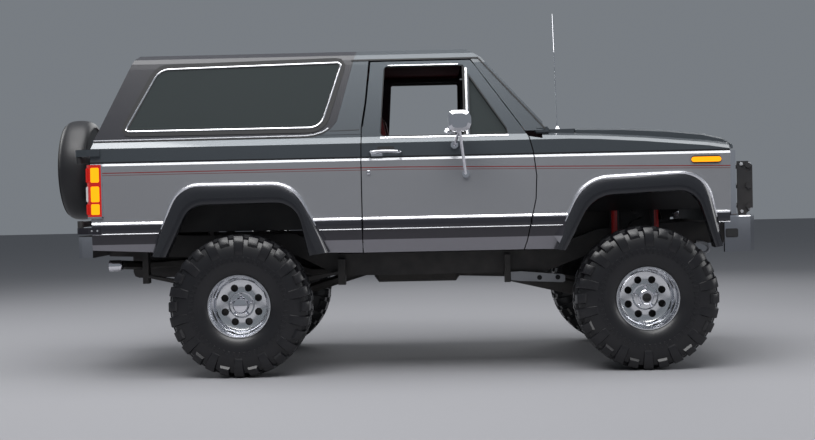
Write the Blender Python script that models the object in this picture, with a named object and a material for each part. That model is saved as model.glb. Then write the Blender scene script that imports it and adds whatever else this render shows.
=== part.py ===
"""Lifted two-door off-road 4x4 with a removable rear top, as separate panels and assemblies.

Metres, +Z up, +X towards the grille, origin on the ground under the middle of the whole outline.
Tables of the nose and doors count x from the front axle, tables of the tail from the rear axle.
Heights named h count from the bottom edge of the body, heights named z from the ground.
"""
import math

import bmesh
import bpy
from mathutils import Matrix, Vector

for old in list(bpy.data.objects):
    bpy.data.objects.remove(old, do_unlink=True)

# Driving dimensions
WHEELBASE = 2.660          # axle to axle
FRONT_REACH = 0.820        # front axle to the face of the brush guard
REAR_REACH = 1.345         # rear axle to the back of the covered spare
TYRE_DIAMETER = 0.935
TYRE_WIDTH = 0.330
RIM_DIAMETER = 0.412
RIM_WIDTH = 0.270
WHEEL_Y = 0.865            # middle of the tyre from the centre line
KINGPIN_Y = 0.700
BODY_RISE = 0.3325         # bottom edge of the body above the axles
SEAT_GAP = 0.0003          # what touching pieces keep between them
PANEL_GAP = 0.007          # shut line round doors and hood
GLASS_THICKNESS = 0.006
RAIL_Y = 0.430             # middle of a frame rail from the centre line
RAIL_WIDTH = 0.070
RAIL_HEIGHT = 0.150
AXLE_TUBE_R = 0.045

FRONT_X = (WHEELBASE + REAR_REACH - FRONT_REACH) / 2
REAR_X = FRONT_X - WHEELBASE
AXLE_Z = TYRE_DIAMETER / 2
BODY_Z = AXLE_Z + BODY_RISE
GUARD_X = FRONT_X + FRONT_REACH
SPARE_X = REAR_X - REAR_REACH

# Side wall of the body: height above the body's bottom edge, outer face, inner face
SIDE_WALL = [
    (-0.060, 0.905, 0.850),
    (0.000, 0.935, 0.850),
    (0.090, 0.960, 0.868),
    (0.160, 0.969, 0.880),
    (0.600, 0.980, 0.885),
    (0.615, 0.966, 0.885),
    (0.715, 0.956, 0.885),
    (0.755, 0.932, 0.880),
    (1.240, 0.806, 0.762),
    (1.290, 0.793, 0.750),
]
BELT_H = 0.755


def front(dx, h):
    """Place of a point given from the front axle and the body's bottom edge."""
    return FRONT_X + dx, BODY_Z + h


def rear(dx, h):
    """Place of a point given from the rear axle and the body's bottom edge."""
    return REAR_X + dx, BODY_Z + h


def wall_y(h, column=1):
    """Half width of the side wall at a height, column 1 outside and 2 inside."""
    for low, high in zip(SIDE_WALL, SIDE_WALL[1:]):
        if h <= high[0]:
            share = (h - low[0]) / (high[0] - low[0])
            return low[column] + share * (high[column] - low[column])
    return SIDE_WALL[-1][column]


# Materials
FINISHES = {}


def finish(name, colour, roughness, metallic=0.0, alpha=1.0):
    """A Principled material, made once for each name."""
    if name not in FINISHES:
        material = bpy.data.materials.new(name)
        material.use_nodes = True
        shader = material.node_tree.nodes["Principled BSDF"]
        shader.inputs["Base Color"].default_value = (*colour, 1.0)
        shader.inputs["Roughness"].default_value = roughness
        shader.inputs["Metallic"].default_value = metallic
        shader.inputs["Alpha"].default_value = alpha
        material.diffuse_color = (*colour, alpha)
        FINISHES[name] = material
    return FINISHES[name]


PAINT = ("paint", (0.13, 0.15, 0.15), 0.25, 0.6)
TOP_BLACK = ("top_black", (0.02, 0.02, 0.022), 0.45)
BLACK_STEEL = ("black_steel", (0.03, 0.03, 0.03), 0.5, 0.5)
CHROME = ("chrome", (0.75, 0.76, 0.78), 0.1, 1.0)
ALLOY = ("polished_alloy", (0.72, 0.73, 0.74), 0.18, 1.0)
RUBBER = ("rubber", (0.025, 0.025, 0.028), 0.8)
GLASS = ("glass", (0.25, 0.30, 0.30), 0.05, 0.0, 0.35)
RED_LENS = ("red_lens", (0.75, 0.04, 0.02), 0.2)
TRIM = ("maroon_trim", (0.16, 0.03, 0.035), 0.8)
CAST = ("cast_iron", (0.08, 0.08, 0.08), 0.6, 0.7)


# Shape tools
def solid(name, bm, look):
    """Turn a bmesh into a named object with its finish, faces pointing out."""
    bmesh.ops.recalc_face_normals(bm, faces=bm.faces)
    mesh = bpy.data.meshes.new(name)
    bm.to_mesh(mesh)
    bm.free()
    mesh.materials.append(finish(*look))
    made = bpy.data.objects.new(name, mesh)
    bpy.context.scene.collection.objects.link(made)
    return made


def sweep(rings, name="tool", look=BLACK_STEEL, closed=False):
    """Skin a row of rings with the same count of points, with flat ends unless closed."""
    bm = bmesh.new()
    rows = [[bm.verts.new(point) for point in ring] for ring in rings]
    pairs = list(zip(rows, rows[1:] + rows[:1] if closed else rows[1:]))
    for one, two in pairs:
        count = len(one)
        for i in range(count):
            j = (i + 1) % count
            bm.faces.new((one[i], one[j], two[j], two[i]))
    if not closed:
        bm.faces.new(rows[0])
        bm.faces.new(list(reversed(rows[-1])))
    return solid(name, bm, look)


def prism(outline, y0, y1, name="tool", look=BLACK_STEEL):
    """A side-view outline of (x, z) points pulled straight from y0 to y1."""
    return sweep([[(x, y, z) for x, z in outline] for y in (y0, y1)], name, look)


def beam(outline, x0, x1, name="tool", look=BLACK_STEEL):
    """A front-view outline of (y, z) points pulled straight from x0 to x1."""
    return sweep([[(x, y, z) for y, z in outline] for x in (x0, x1)], name, look)


def plate(outline, z0, z1, name="tool", look=BLACK_STEEL):
    """A top-view outline of (x, y) points pulled straight from z0 to z1."""
    return sweep([[(x, y, z) for x, y in outline] for z in (z0, z1)], name, look)


def box(low, high, name="tool", look=BLACK_STEEL):
    """A block between two corners."""
    corners = [(low[0], low[1]), (high[0], low[1]), (high[0], high[1]), (low[0], high[1])]
    return plate(corners, low[2], high[2], name, look)


def tube(start, end, radius, sides=10, name="tool", look=BLACK_STEEL, end_radius=None):
    """A round bar or cone between two points."""
    start, end = Vector(start), Vector(end)
    along = end - start
    turn = along.to_track_quat("Z", "Y").to_matrix()
    rings = []
    for centre, r in ((start, radius), (end, end_radius or radius)):
        ring = []
        for i in range(sides):
            angle = 2 * math.pi * (i + 0.5) / sides
            ring.append(centre + turn @ Vector((r * math.cos(angle), r * math.sin(angle), 0)))
        rings.append(ring)
    return sweep(rings, name, look)


def bent_tube(points, radius, sides=8, name="tool", look=BLACK_STEEL):
    """A round tube mitred along a row of points."""
    points = [Vector(p) for p in points]
    rings = []
    for i, point in enumerate(points):
        before = points[max(i - 1, 0)]
        after = points[min(i + 1, len(points) - 1)]
        along = (after - before).normalized()
        side = along.cross(Vector((0, 0, 1)))
        if side.length < 0.01:
            side = along.cross(Vector((1, 0, 0)))
        side.normalize()
        up = side.cross(along)
        step = (points[i] - before) if i else (after - points[i])
        stretch = 1 / max(step.normalized().dot(along), 0.5)
        bend = (after - point).normalized() - (point - before).normalized()
        ring = []
        for k in range(sides):
            angle = 2 * math.pi * (k + 0.5) / sides
            offset = side * math.cos(angle) * radius + up * math.sin(angle) * radius
            if 0 < i < len(points) - 1 and bend.length > 0.01:
                across = bend.normalized()
                offset += across * offset.dot(across) * (stretch - 1)
            ring.append(point + offset)
        rings.append(ring)
    return sweep(rings, name, look)


def turned(profile, segments, name="tool", look=BLACK_STEEL):
    """A closed (radius, y) profile turned about the Y axis."""
    rings = []
    for i in range(segments):
        angle = 2 * math.pi * i / segments
        rings.append([(r * math.cos(angle), y, r * math.sin(angle)) for r, y in profile])
    return sweep(rings, name, look, closed=True)


def combine(base, others, operation):
    """Apply Boolean operations between solids and leave only the result."""
    for other in others:
        step = base.modifiers.new("step", "BOOLEAN")
        step.operation = operation
        step.solver = "EXACT"
        step.object = other
        graph = bpy.context.evaluated_depsgraph_get()
        result = bpy.data.meshes.new_from_object(base.evaluated_get(graph))
        base.modifiers.clear()
        base.data = result
        bpy.data.objects.remove(other, do_unlink=True)
    looks = base.data.materials[0]
    base.data.materials.clear()
    base.data.materials.append(looks)
    for face in base.data.polygons:
        face.material_index = 0
    return base


def join(base, *others):
    return combine(base, others, "UNION")


def cut(base, *others):
    return combine(base, others, "DIFFERENCE")


def common(base, *others):
    return combine(base, others, "INTERSECT")


def named(made, name, look=None):
    """Name a finished piece, drop stray merging, and smooth its round faces."""
    made.name = name
    made.data.name = name
    if look:
        made.data.materials.clear()
        made.data.materials.append(finish(*look))
    bm = bmesh.new()
    bm.from_mesh(made.data)
    bmesh.ops.remove_doubles(bm, verts=bm.verts, dist=0.00002)
    bmesh.ops.dissolve_degenerate(bm, edges=bm.edges, dist=0.00001)
    bmesh.ops.triangulate(bm, faces=bm.faces)
    bm.to_mesh(made.data)
    bm.free()
    made.data.shade_smooth()
    made.data.set_sharp_from_angle(angle=math.radians(32))
    return made


def other_side(made, name):
    """The mirror image of a left-hand piece, as its own object."""
    bm = bmesh.new()
    bm.from_mesh(made.data)
    bm.transform(Matrix.Scale(-1, 4, (0, 1, 0)))
    bmesh.ops.reverse_faces(bm, faces=bm.faces)
    mesh = made.data.copy()
    bm.to_mesh(mesh)
    bm.free()
    mesh.name = name
    twin = bpy.data.objects.new(name, mesh)
    twin.matrix_world = made.matrix_world
    bpy.context.scene.collection.objects.link(twin)
    mesh.shade_smooth()
    mesh.set_sharp_from_angle(angle=math.radians(32))
    return twin


def pair(made, name):
    """Name a left-hand piece and add its right-hand twin."""
    left = named(made, name + "_left")
    return left, other_side(left, name + "_right")


def hang(point, *names):
    """Put the origins of pieces that move together on their joint's axis."""
    for name in names:
        made = bpy.data.objects[name]
        made.data.transform(Matrix.Translation(Vector(point)).inverted())
        made.location = point


def rounded(corners, steps=3):
    """Outline with arcs at its corners, from rows of x, z and radius."""
    points = []
    count = len(corners)
    for i, (x, z, radius) in enumerate(corners):
        here = Vector((x, z))
        if not radius:
            points.append((x, z))
            continue
        before = Vector(corners[i - 1][:2])
        after = Vector(corners[(i + 1) % count][:2])
        back = (before - here).normalized()
        ahead = (after - here).normalized()
        half = back.angle(ahead) / 2
        reach = radius / math.tan(half)
        centre = here + (back + ahead).normalized() * radius / math.sin(half)
        start = here + back * reach - centre
        end = here + ahead * reach - centre
        turn = start.angle_signed(end)
        for k in range(steps + 1):
            angle = -turn * k / steps
            spun = Vector((start.x * math.cos(angle) - start.y * math.sin(angle),
                           start.x * math.sin(angle) + start.y * math.cos(angle)))
            points.append((centre.x + spun.x, centre.y + spun.y))
    return points


def inset(outline, distance):
    """Move an outline's edges inwards by a distance."""
    count = len(outline)
    area = sum(outline[i - 1][0] * outline[i][1] - outline[i][0] * outline[i - 1][1]
               for i in range(count))
    sign = 1 if area > 0 else -1
    moved = []
    for i in range(count):
        a, b, c = (Vector(outline[i - 1]), Vector(outline[i]), Vector(outline[(i + 1) % count]))
        one = (b - a).normalized()
        two = (c - b).normalized()
        normal = Vector((-one.y - two.y, one.x + two.x)).normalized() * sign
        lean = max(normal.dot(Vector((-one.y, one.x)) * sign), 0.3)
        moved.append(tuple(b + normal * distance / lean))
    return moved


def side_shell(trim_out=0.0, thickness=None, top=None):
    """The left side wall over the whole length, optionally only a thin layer inside it."""
    rows = SIDE_WALL
    outer = [(y - trim_out, BODY_Z + h) for h, y, _ in rows]
    if thickness:
        inner = [(y - trim_out - thickness, BODY_Z + h) for h, y, _ in rows]
    else:
        inner = [(y, BODY_Z + h) for h, _, y in rows]
    return beam(outer + inner[::-1], REAR_X - 1.2, FRONT_X + 0.7)


def wall_panel(outline, openings=()):
    """A piece of the side wall inside an outline, with its openings cut."""
    panel = common(prism(outline, 0.5, 1.1), side_shell())
    return cut(panel, *[prism(opening, 0.4, 1.2) for opening in openings])


# Side panels, left side first
# Door outline: x from the front axle, h from the body's bottom edge, from the bottom rear round
DOOR_BACK = [(-1.842, 0.000), (-1.842, 0.610), (-1.838, 0.820), (-1.811, 0.990), (-1.783, 1.255)]
DOOR_FRONT = [(-1.120, 1.255), (-1.085, 1.212), (-0.793, 0.798), (-0.752, 0.737), (-0.727, 0.642),
              (-0.708, 0.480), (-0.715, 0.330), (-0.775, 0.060), (-0.795, 0.000)]
# Window openings: x, h, corner radius
MAIN_WINDOW = [(-1.723, 0.755, 0.03), (-1.689, 1.225, 0.03), (-1.165, 1.225, 0.02),
               (-1.152, 1.195, 0), (-1.152, 0.755, 0.01)]
VENT_WINDOW = [(-1.132, 0.755, 0.01), (-1.132, 1.165, 0), (-0.892, 0.800, 0.02),
               (-0.880, 0.755, 0.01)]
# Wheel arches as rows of x, h, radius: the lip of the flare and the edge where it meets the panel
FRONT_ARCH_IN = [(-0.530, -0.010, 0), (-0.345, 0.345, 0.220), (0.325, 0.375, 0.160),
                 (0.445, -0.010, 0)]
FRONT_ARCH_OUT = [(-0.600, 0.080, 0), (-0.405, 0.455, 0.260), (0.385, 0.485, 0.200),
                  (0.480, 0.100, 0)]
REAR_ARCH_IN = [(-0.475, 0.000, 0), (-0.312, 0.340, 0.150), (0.385, 0.345, 0.170),
                (0.470, -0.010, 0)]
REAR_ARCH_OUT = [(-0.545, 0.100, 0), (-0.381, 0.465, 0.200), (0.365, 0.462, 0.220),
                 (0.575, 0.100, 0)]
# Where the fender's flat side turns into its round shoulder: x, h
FENDER_SEAM = [(-0.660, 0.722), (-0.290, 0.708), (0.010, 0.688), (0.410, 0.652), (0.550, 0.630)]
FENDER_NOSE = [(0.550, 0.200), (0.480, 0.180), (0.470, -0.010)]
# Shoulder above the seam: half width, height over the seam
SHOULDER = [(0.938, 0.022), (0.905, 0.036), (0.862, 0.042), (0.862, 0.018), (0.900, -0.035)]
HOOD_Y = 0.854
HOOD_EDGE = 0.008          # hood's side edge over the fender seam
FLARE_Y = 0.998
SILL_Y = 0.843
SPARE_STAND = 0.388        # back of the covered spare behind the body's rear face
TAIL = SPARE_STAND - REAR_REACH      # rear face of the body from the rear axle
TAILGATE_Y = 0.765
TAILGATE_FOOT = 0.1405      # just over the ends of the frame rails
LAMP_H = (0.271, 0.610)
DOOR_HINGE = (-0.747, 0.974)   # from the front axle, and half width
DOOR_HINGE_H = 0.600
DOOR_RELIEF = 0.0065


def world(place, rows):
    """Turn rows of x, h and perhaps a radius into world points, keeping what follows."""
    return [(*place(row[0], row[1]), *row[2:]) for row in rows]


def arch(place, rows):
    return rounded(world(place, rows), steps=4)


def flare(place, inner_rows, outer_rows):
    """The proud lip round a wheel arch, skinned from sections along the arch."""
    rings = []
    for (xi, zi), (xo, zo) in zip(arch(place, inner_rows), arch(place, outer_rows)):
        skin = wall_y(zo - BODY_Z)
        xm, zm = xi + 0.55 * (xo - xi), zi + 0.55 * (zo - zi)
        rings.append([(xo, skin - 0.020, zo), (xo, skin + 0.003, zo), (xm, FLARE_Y - 0.003, zm),
                      (xi, FLARE_Y, zi), (xi, FLARE_Y - 0.075, zi)])
    return sweep(rings)


def arch_cut(place, inner_rows, outer_rows):
    """The hole of a wheel arch, a third of the way from the lip to the panel edge."""
    inner = arch(place, inner_rows)
    outer = arch(place, outer_rows)
    curve = [(xi + 0.35 * (xo - xi), zi + 0.35 * (zo - zi))
             for (xi, zi), (xo, zo) in zip(inner, outer)]
    low = BODY_Z - 0.2
    return [(curve[0][0] - 0.060, low)] + curve[1:-1] + [(curve[-1][0] + 0.030, low)]


def door():
    """Door with its window openings; its rear edge is set back inside, for the swing."""
    outline = world(front, DOOR_BACK + DOOR_FRONT)
    windows = [rounded(world(front, rows)) for rows in (MAIN_WINDOW, VENT_WINDOW)]
    edge = world(front, DOOR_BACK)
    edge = [(edge[0][0], edge[0][1] - 0.001)] + edge[1:-1] + [(edge[-1][0], edge[-1][1] + 0.001)]
    relief = [(x - 0.001, z) for x, z in edge] + [(x + DOOR_RELIEF, z) for x, z in edge[::-1]]
    return cut(wall_panel(outline, windows), prism(relief, 0.5, DOOR_HINGE[1] - 0.060))


def vent_glass():
    """The small fixed pane, a thin layer of the side wall inside its opening."""
    outline = inset(rounded(world(front, VENT_WINDOW)), SEAT_GAP)
    return common(prism(outline, 0.5, 1.1), side_shell(0.020, GLASS_THICKNESS))


def seam_h(dx):
    """Height of the fender's seam at a place along the nose."""
    for (x0, h0), (x1, h1) in zip(FENDER_SEAM, FENDER_SEAM[1:]):
        if dx <= x1:
            break
    return h0 + (h1 - h0) * (dx - x0) / (x1 - x0)


def shoulder():
    """The fender's round upper edge, skinned from sections along the nose."""
    rings = []
    for dx, h in FENDER_SEAM:
        x, z = front(dx, h)
        skin = wall_y(h) - 0.0005
        ring = [(x, skin, z - 0.035), (x, skin, z - 0.001)]
        rings.append(ring + [(x, y, z + over) for y, over in SHOULDER])
    return sweep(rings)


def hood_stop():
    """Rubber stop under the hood's side edge."""
    x, z = front(0.380, seam_h(0.395) + HOOD_EDGE - SEAT_GAP)
    return box((x - 0.015, HOOD_Y - 0.026, z - 0.015), (x + 0.015, 0.886, z))


def fender():
    """Front fender with its flare and the inner apron that closes the engine bay."""
    edge = [(x + PANEL_GAP, z) for x, z in world(front, DOOR_FRONT[3:])]
    outline = edge[::-1] + world(front, FENDER_SEAM + FENDER_NOSE)
    panel = common(prism(outline, 0.5, 1.1), side_shell())
    panel = cut(panel, prism(arch_cut(front, FRONT_ARCH_IN, FRONT_ARCH_OUT), 0.4, 1.2))
    shelf_z = BODY_Z + 0.395
    apron = [(0.620, shelf_z - 0.16), (0.905, shelf_z), (0.905, shelf_z + 0.012),
             (0.632, shelf_z + 0.012), (0.632, BODY_Z + 0.64), (0.620, BODY_Z + 0.64)]
    return join(panel, shoulder(), flare(front, FRONT_ARCH_IN, FRONT_ARCH_OUT), hood_stop(),
                beam(apron, FRONT_X - 0.600, FRONT_X + 0.530))


def lamp_block(grow=0.0):
    """Tail lamp that wraps the corner, or its recess when grown."""
    x0, x1 = REAR_X + TAIL - 0.026 - grow, REAR_X + TAIL + 0.074 + grow
    outline = [(x0, 0.800 - grow), (x0, 0.955), (x0 + 0.018, 0.980 + grow),
               (x1, 0.984 + grow), (x1, 0.800 - grow)]
    if grow:
        outline = [(x0 - 0.02, 0.800 - grow), (x0 - 0.02, 1.05), (x1, 1.05), (x1, 0.800 - grow)]
    return plate(outline, BODY_Z + LAMP_H[0] - grow, BODY_Z + LAMP_H[1] + grow)


def quarter():
    """Quarter panel with the rocker stub, B-pillar foot, flare and rear corner post."""
    pillar = world(front, [(DOOR_BACK[0][0] - PANEL_GAP, h) for h in (0.0, 0.610)])
    pillar.append(front(DOOR_BACK[2][0] - PANEL_GAP, BELT_H + 0.018))
    tail = world(rear, [(TAIL + 0.023, BELT_H + 0.018), (TAIL, 0.710), (TAIL, 0.050),
                        (-0.500, 0.028)])
    panel = common(prism(pillar + tail, 0.5, 1.1), side_shell())
    panel = cut(panel, prism(arch_cut(rear, REAR_ARCH_IN, REAR_ARCH_OUT), 0.4, 1.2))
    post = box((REAR_X + TAIL, TAILGATE_Y, BODY_Z + 0.050),
               (REAR_X + TAIL + 0.055, 0.900, BODY_Z + BELT_H + 0.018))
    panel = join(panel, flare(rear, REAR_ARCH_IN, REAR_ARCH_OUT), post)
    return cut(panel, lamp_block(SEAT_GAP))


def mirror():
    """Mirror head on two arms bolted to the door skin."""
    x, z = front(-1.203, 0.834)
    half_x, half_z = 0.073, 0.066
    ring = rounded([(x - half_x, z - half_z, 0.03), (x + half_x, z - half_z, 0.045),
                    (x + half_x, z + half_z, 0.045), (x - half_x, z + half_z, 0.03)], 2)
    head = sweep([[(x + (px - x) * s, y, z + (pz - z) * s) for px, pz in ring]
                  for y, s in ((1.060, 0.70), (1.085, 1.0), (1.215, 1.0), (1.240, 0.70))])
    arms = []
    foot_r = 0.026
    for foot_x, foot_h in ((-1.165, 0.500), (-1.235, 0.690)):
        fx, fz = front(foot_x, foot_h)
        skin = max(wall_y(foot_h - foot_r), wall_y(foot_h + foot_r)) + SEAT_GAP
        arms.append(tube((fx, skin + 0.010, fz), (x, 1.12, z - 0.04), 0.011, 6))
        arms.append(tube((fx, skin, fz), (fx, skin + 0.016, fz), foot_r, 8))
    return join(head, *arms)


pair(door(), "door")
for pane in pair(vent_glass(), "vent_glass"):
    pane.data.materials[0] = finish(*GLASS)
for piece in pair(mirror(), "mirror"):
    piece.data.materials[0] = finish(*CHROME)
pair(fender(), "fender")
pair(quarter(), "quarter")
for piece in pair(lamp_block(), "tail_lamp"):
    piece.data.materials[0] = finish(*RED_LENS)


# Roof, glass and hood
BELT_TOP = BELT_H + 0.020  # h where roof and top stand on the quarter panels
ROOF_TOP = 1.365           # h of the roof's middle
# Half of the roof's cross-section above the belt: half width, h
ROOF_OUT = [(0.932, 0.755), (0.806, 1.240), (0.796, 1.275), (0.776, 1.305), (0.720, 1.335),
            (0.500, 1.355), (0.000, ROOF_TOP)]
ROOF_IN = [(0.875, 0.600), (0.875, 0.755), (0.762, 1.240), (0.735, 1.275), (0.690, 1.303),
           (0.500, 1.320), (0.000, 1.330)]
# Joint between steel roof and rear top: x from the front axle, h
TOP_JOINT = [(-1.860, 1.420), (-1.862, 1.365), (-2.003, 0.860), (-2.050, 0.805),
             (-2.124, BELT_TOP)]
SCREEN_FOOT = (-0.655, 0.830)
SCREEN_HEAD = (-1.045, 1.272)
REAR_FOOT = (TAIL + 0.021, BELT_TOP)
REAR_HEAD = (TAIL + 0.296, 1.368)


def section(rows, x0, x1):
    """A symmetric cross-section given by its left half, pulled along X."""
    left = [(y, BODY_Z + h) for y, h in rows]
    right = [(-y, z) for y, z in left[:-1]]
    return beam(left + right[::-1], x0, x1)


def slope(foot, head, corners, out0, out1):
    """A pane or its hole in a sloping plane: corners are y, distance up the slope, radius."""
    foot, head = Vector(foot), Vector(head)
    up = (head - foot).normalized()
    normal = Vector((up.y, -up.x))
    rings = []
    for out in (out0, out1):
        ring = []
        for y, v in corners:
            x, z = foot + up * v + normal * out
            ring.append((x, y, z))
        rings.append(ring)
    return sweep(rings)


def pane_corners(low_half, high_half, low, high, radius):
    return rounded([(-low_half, low, radius), (low_half, low, radius),
                    (high_half, high, radius), (-high_half, high, radius)])


SCREEN_CORNERS = pane_corners(0.800, 0.690, 0.045, 0.525, 0.06)
REAR_CORNERS = pane_corners(0.730, 0.640, 0.060, 0.520, 0.06)


def grown_door():
    """Door outline with its shut line, used to cut the roof."""
    back = [(x - PANEL_GAP, h) for x, h in DOOR_BACK[1:]]
    ahead = [(x + PANEL_GAP, h) for x, h in DOOR_FRONT[:5]]
    back[-1] = (back[-1][0], back[-1][1] + PANEL_GAP)
    ahead[0] = (ahead[0][0], ahead[0][1] + PANEL_GAP)
    return world(front, back + ahead)


def roof():
    """Steel front roof with windscreen frame, A-pillars and the pillars behind the doors."""
    joint = [(x + SEAT_GAP, h) for x, h in TOP_JOINT]
    foot = (SCREEN_FOOT[0], BELT_TOP + SEAT_GAP)
    outline = joint[:-1] + [(joint[-1][0], BELT_TOP + SEAT_GAP), foot, SCREEN_FOOT, SCREEN_HEAD,
                            (-1.160, 1.345), (-1.400, ROOF_TOP + 0.004), (-1.700, 1.420)]
    x0, x1 = FRONT_X - 2.2, FRONT_X - 0.5
    shell = common(section(ROOF_OUT, x0, x1), prism(world(front, outline), -1, 1))
    wall = 0.040
    hollow = [(-2.300, 0.500), (SCREEN_FOOT[0] - wall, 0.500),
              (SCREEN_FOOT[0] - wall - 0.012, SCREEN_FOOT[1]),
              (SCREEN_HEAD[0] - wall - 0.012, SCREEN_HEAD[1] - 0.012),
              (-1.180, 1.325), (-1.400, 1.420), (-2.300, 1.420)]
    inside = common(section(ROOF_IN, x0 - 0.1, x1), prism(world(front, hollow), -1.1, 1.1))
    shell = cut(shell, inside, prism(grown_door(), -1.2, 1.2))
    foot, head = front(*SCREEN_FOOT), front(*SCREEN_HEAD)
    return cut(shell, slope(foot, head, SCREEN_CORNERS, -0.09, 0.05))


def windscreen():
    corners = inset(SCREEN_CORNERS, SEAT_GAP)
    return slope(front(*SCREEN_FOOT), front(*SCREEN_HEAD), corners, -0.014 - GLASS_THICKNESS,
                 -0.014)


def quarter_window(distance):
    """Side window of the rear top, its edges moved in by a distance."""
    rows = world(rear, [(TAIL + 0.221, 0.827, 0.05), (TAIL + 0.443, 1.234, 0.07)])
    rows += world(front, [(-1.968, 1.255, 0.06), (-2.110, 0.827, 0.09)])
    return inset(rounded(rows), distance)


WINDOW_TRIM = 0.014


def rear_top():
    """Removable rear top: one shell with side windows and a sloping rear opening."""
    tail = world(rear, [(REAR_FOOT[0], BELT_TOP + SEAT_GAP, 0), (*REAR_HEAD, 0.150)])
    joint = [(x - SEAT_GAP, h, 0) for x, h in TOP_JOINT]
    joint[-1] = (joint[-1][0], BELT_TOP + SEAT_GAP, 0)
    outline = rounded(tail + world(front, joint), 5)
    x0, x1 = REAR_X - 1.0, FRONT_X - 1.8
    shell = common(section(ROOF_OUT, x0, x1), prism(outline, -1, 1))
    wall = 0.038
    hollow = [rear(REAR_FOOT[0] + wall + 0.02, 0.5), rear(REAR_HEAD[0] + wall + 0.03, 1.335),
              front(-1.7, 1.335), front(-1.7, 0.5)]
    shell = cut(shell, common(section(ROOF_IN, x0, x1 + 0.1), prism(hollow, -1.1, 1.1)))
    foot, head = rear(*REAR_FOOT), rear(*REAR_HEAD)
    return cut(shell, prism(quarter_window(WINDOW_TRIM), -1.2, 1.2),
               slope(foot, head, REAR_CORNERS, -0.05, 0.12))


def quarter_glass():
    return common(prism(quarter_window(WINDOW_TRIM + SEAT_GAP), 0.5, 1.1),
                  side_shell(0.020, GLASS_THICKNESS))


def rear_glass():
    corners = inset(REAR_CORNERS, SEAT_GAP)
    return slope(rear(*REAR_FOOT), rear(*REAR_HEAD), corners, 0.016, 0.016 + GLASS_THICKNESS)


# Hood sections: x from the front axle, h of the top at its side
HOOD_ROWS = [(-0.437, 0.787), (-0.140, 0.780), (0.150, 0.763), (0.390, 0.737), (0.530, 0.704),
             (0.594, 0.664)]
HOOD_WALL = 0.026
HOOD_CROWN = 0.020
# Across the hood: share of its half width, share of the crown
HOOD_ACROSS = [(0.960, 0.00), (0.660, 0.45), (0.330, 0.85)]
COWL_BACK = SCREEN_FOOT[0] + SEAT_GAP
COWL_FRONT = HOOD_ROWS[0][0] - PANEL_GAP
HOOD_HINGE = (FRONT_X - 0.440, 0.0, BODY_Z + 0.805)
FIREWALL = (-0.648, -0.633)
FIREWALL_TOP = 0.7547


def hood():
    rings = []
    for dx, top_h in HOOD_ROWS:
        x, edge = front(dx, seam_h(dx) + HOOD_EDGE)
        top = BODY_Z + top_h
        outer = [(HOOD_Y, edge), (HOOD_Y - 0.003, top - 0.012)]
        outer += [(HOOD_Y * share, top + HOOD_CROWN * rise) for share, rise in HOOD_ACROSS]
        inner = [(HOOD_Y - HOOD_WALL, edge), (HOOD_Y - HOOD_WALL - 0.003, top - 0.012 - 0.022)]
        inner += [(y * 0.96, z - HOOD_WALL) for y, z in outer[2:]]
        left = [(x, y, z) for y, z in outer]
        right = [(x, -y, z) for y, z in outer[::-1]]
        under = [(x, -y, z) for y, z in inner] + [(x, y, z) for y, z in inner[::-1]]
        rings.append(left + right + under)
    return sweep(rings)


COWL_HALF = SHOULDER[2][0] - SEAT_GAP
COWL_TOP = [(COWL_HALF, 0.783), (COWL_HALF * 0.66, 0.793), (COWL_HALF * 0.33, 0.799), (0.0, 0.801)]


def cowl():
    """Painted cowl panel between windscreen and hood, over the firewall."""
    low = FIREWALL_TOP + SEAT_GAP
    return section([(COWL_TOP[0][0], low)] + COWL_TOP, FRONT_X + COWL_BACK, FRONT_X + COWL_FRONT)


def dashboard():
    """Dashboard across the cab, against the firewall."""
    back = COWL_BACK - SEAT_GAP
    top = BELT_TOP - 0.001
    outline = [(back, 0.640), (back, top), (-0.900, top), (-0.970, 0.745), (-1.010, 0.690),
               (-0.990, 0.500), (-0.860, 0.470), (-0.800, 0.640)]
    return prism(world(front, outline), -0.850, 0.850)


GRILLE_X = (FENDER_NOSE[0][0] + SEAT_GAP, 0.600)
GRILLE_H = (0.205, 0.618)
LAMP_Y = (0.560, 0.815)


def grille():
    """Egg-crate grille between two lamp housings, in one frame across the nose."""
    x0, x1 = FRONT_X + GRILLE_X[0], FRONT_X + GRILLE_X[1]
    z0, z1 = BODY_Z + GRILLE_H[0], BODY_Z + GRILLE_H[1]
    frame = box((x0, -0.900, z0), (x1, 0.900, z1))
    columns, rows, bar = 6, 3, 0.016
    width = (2 * LAMP_Y[0] - 0.040 + bar) / columns
    height = (z1 - z0 - 0.060 + bar) / rows
    holes = []
    for i in range(columns):
        for j in range(rows):
            y = -LAMP_Y[0] + 0.020 + i * width
            z = z0 + 0.030 + j * height
            holes.append(box((x0 - 0.1, y, z), (x1 + 0.1, y + width - bar, z + height - bar)))
    for side in (-1, 1):
        low, high = sorted((side * LAMP_Y[0], side * LAMP_Y[1]))
        holes.append(box((x0 + 0.020, low, z0 + 0.150), (x1 + 0.1, high, z1 - 0.030)))
        holes.append(box((x0 + 0.030, low, z0 + 0.035), (x1 + 0.1, high, z0 + 0.125)))
    cutter = holes[0]
    bm = bmesh.new()
    for hole in holes:
        bm.from_mesh(hole.data)
    bm.to_mesh(cutter.data)
    bm.free()
    for hole in holes[1:]:
        bpy.data.objects.remove(hole, do_unlink=True)
    return cut(frame, cutter)


def tailgate():
    """Tailgate between the rear corner posts."""
    half = TAILGATE_Y - 0.004
    foot = TAILGATE_FOOT
    outline = world(rear, [(TAIL, foot), (TAIL, 0.730), (TAIL + 0.020, BELT_TOP - 0.004),
                           (TAIL + 0.055, BELT_TOP - 0.004), (TAIL + 0.055, foot)])
    return prism(outline, -half, half)


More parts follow.
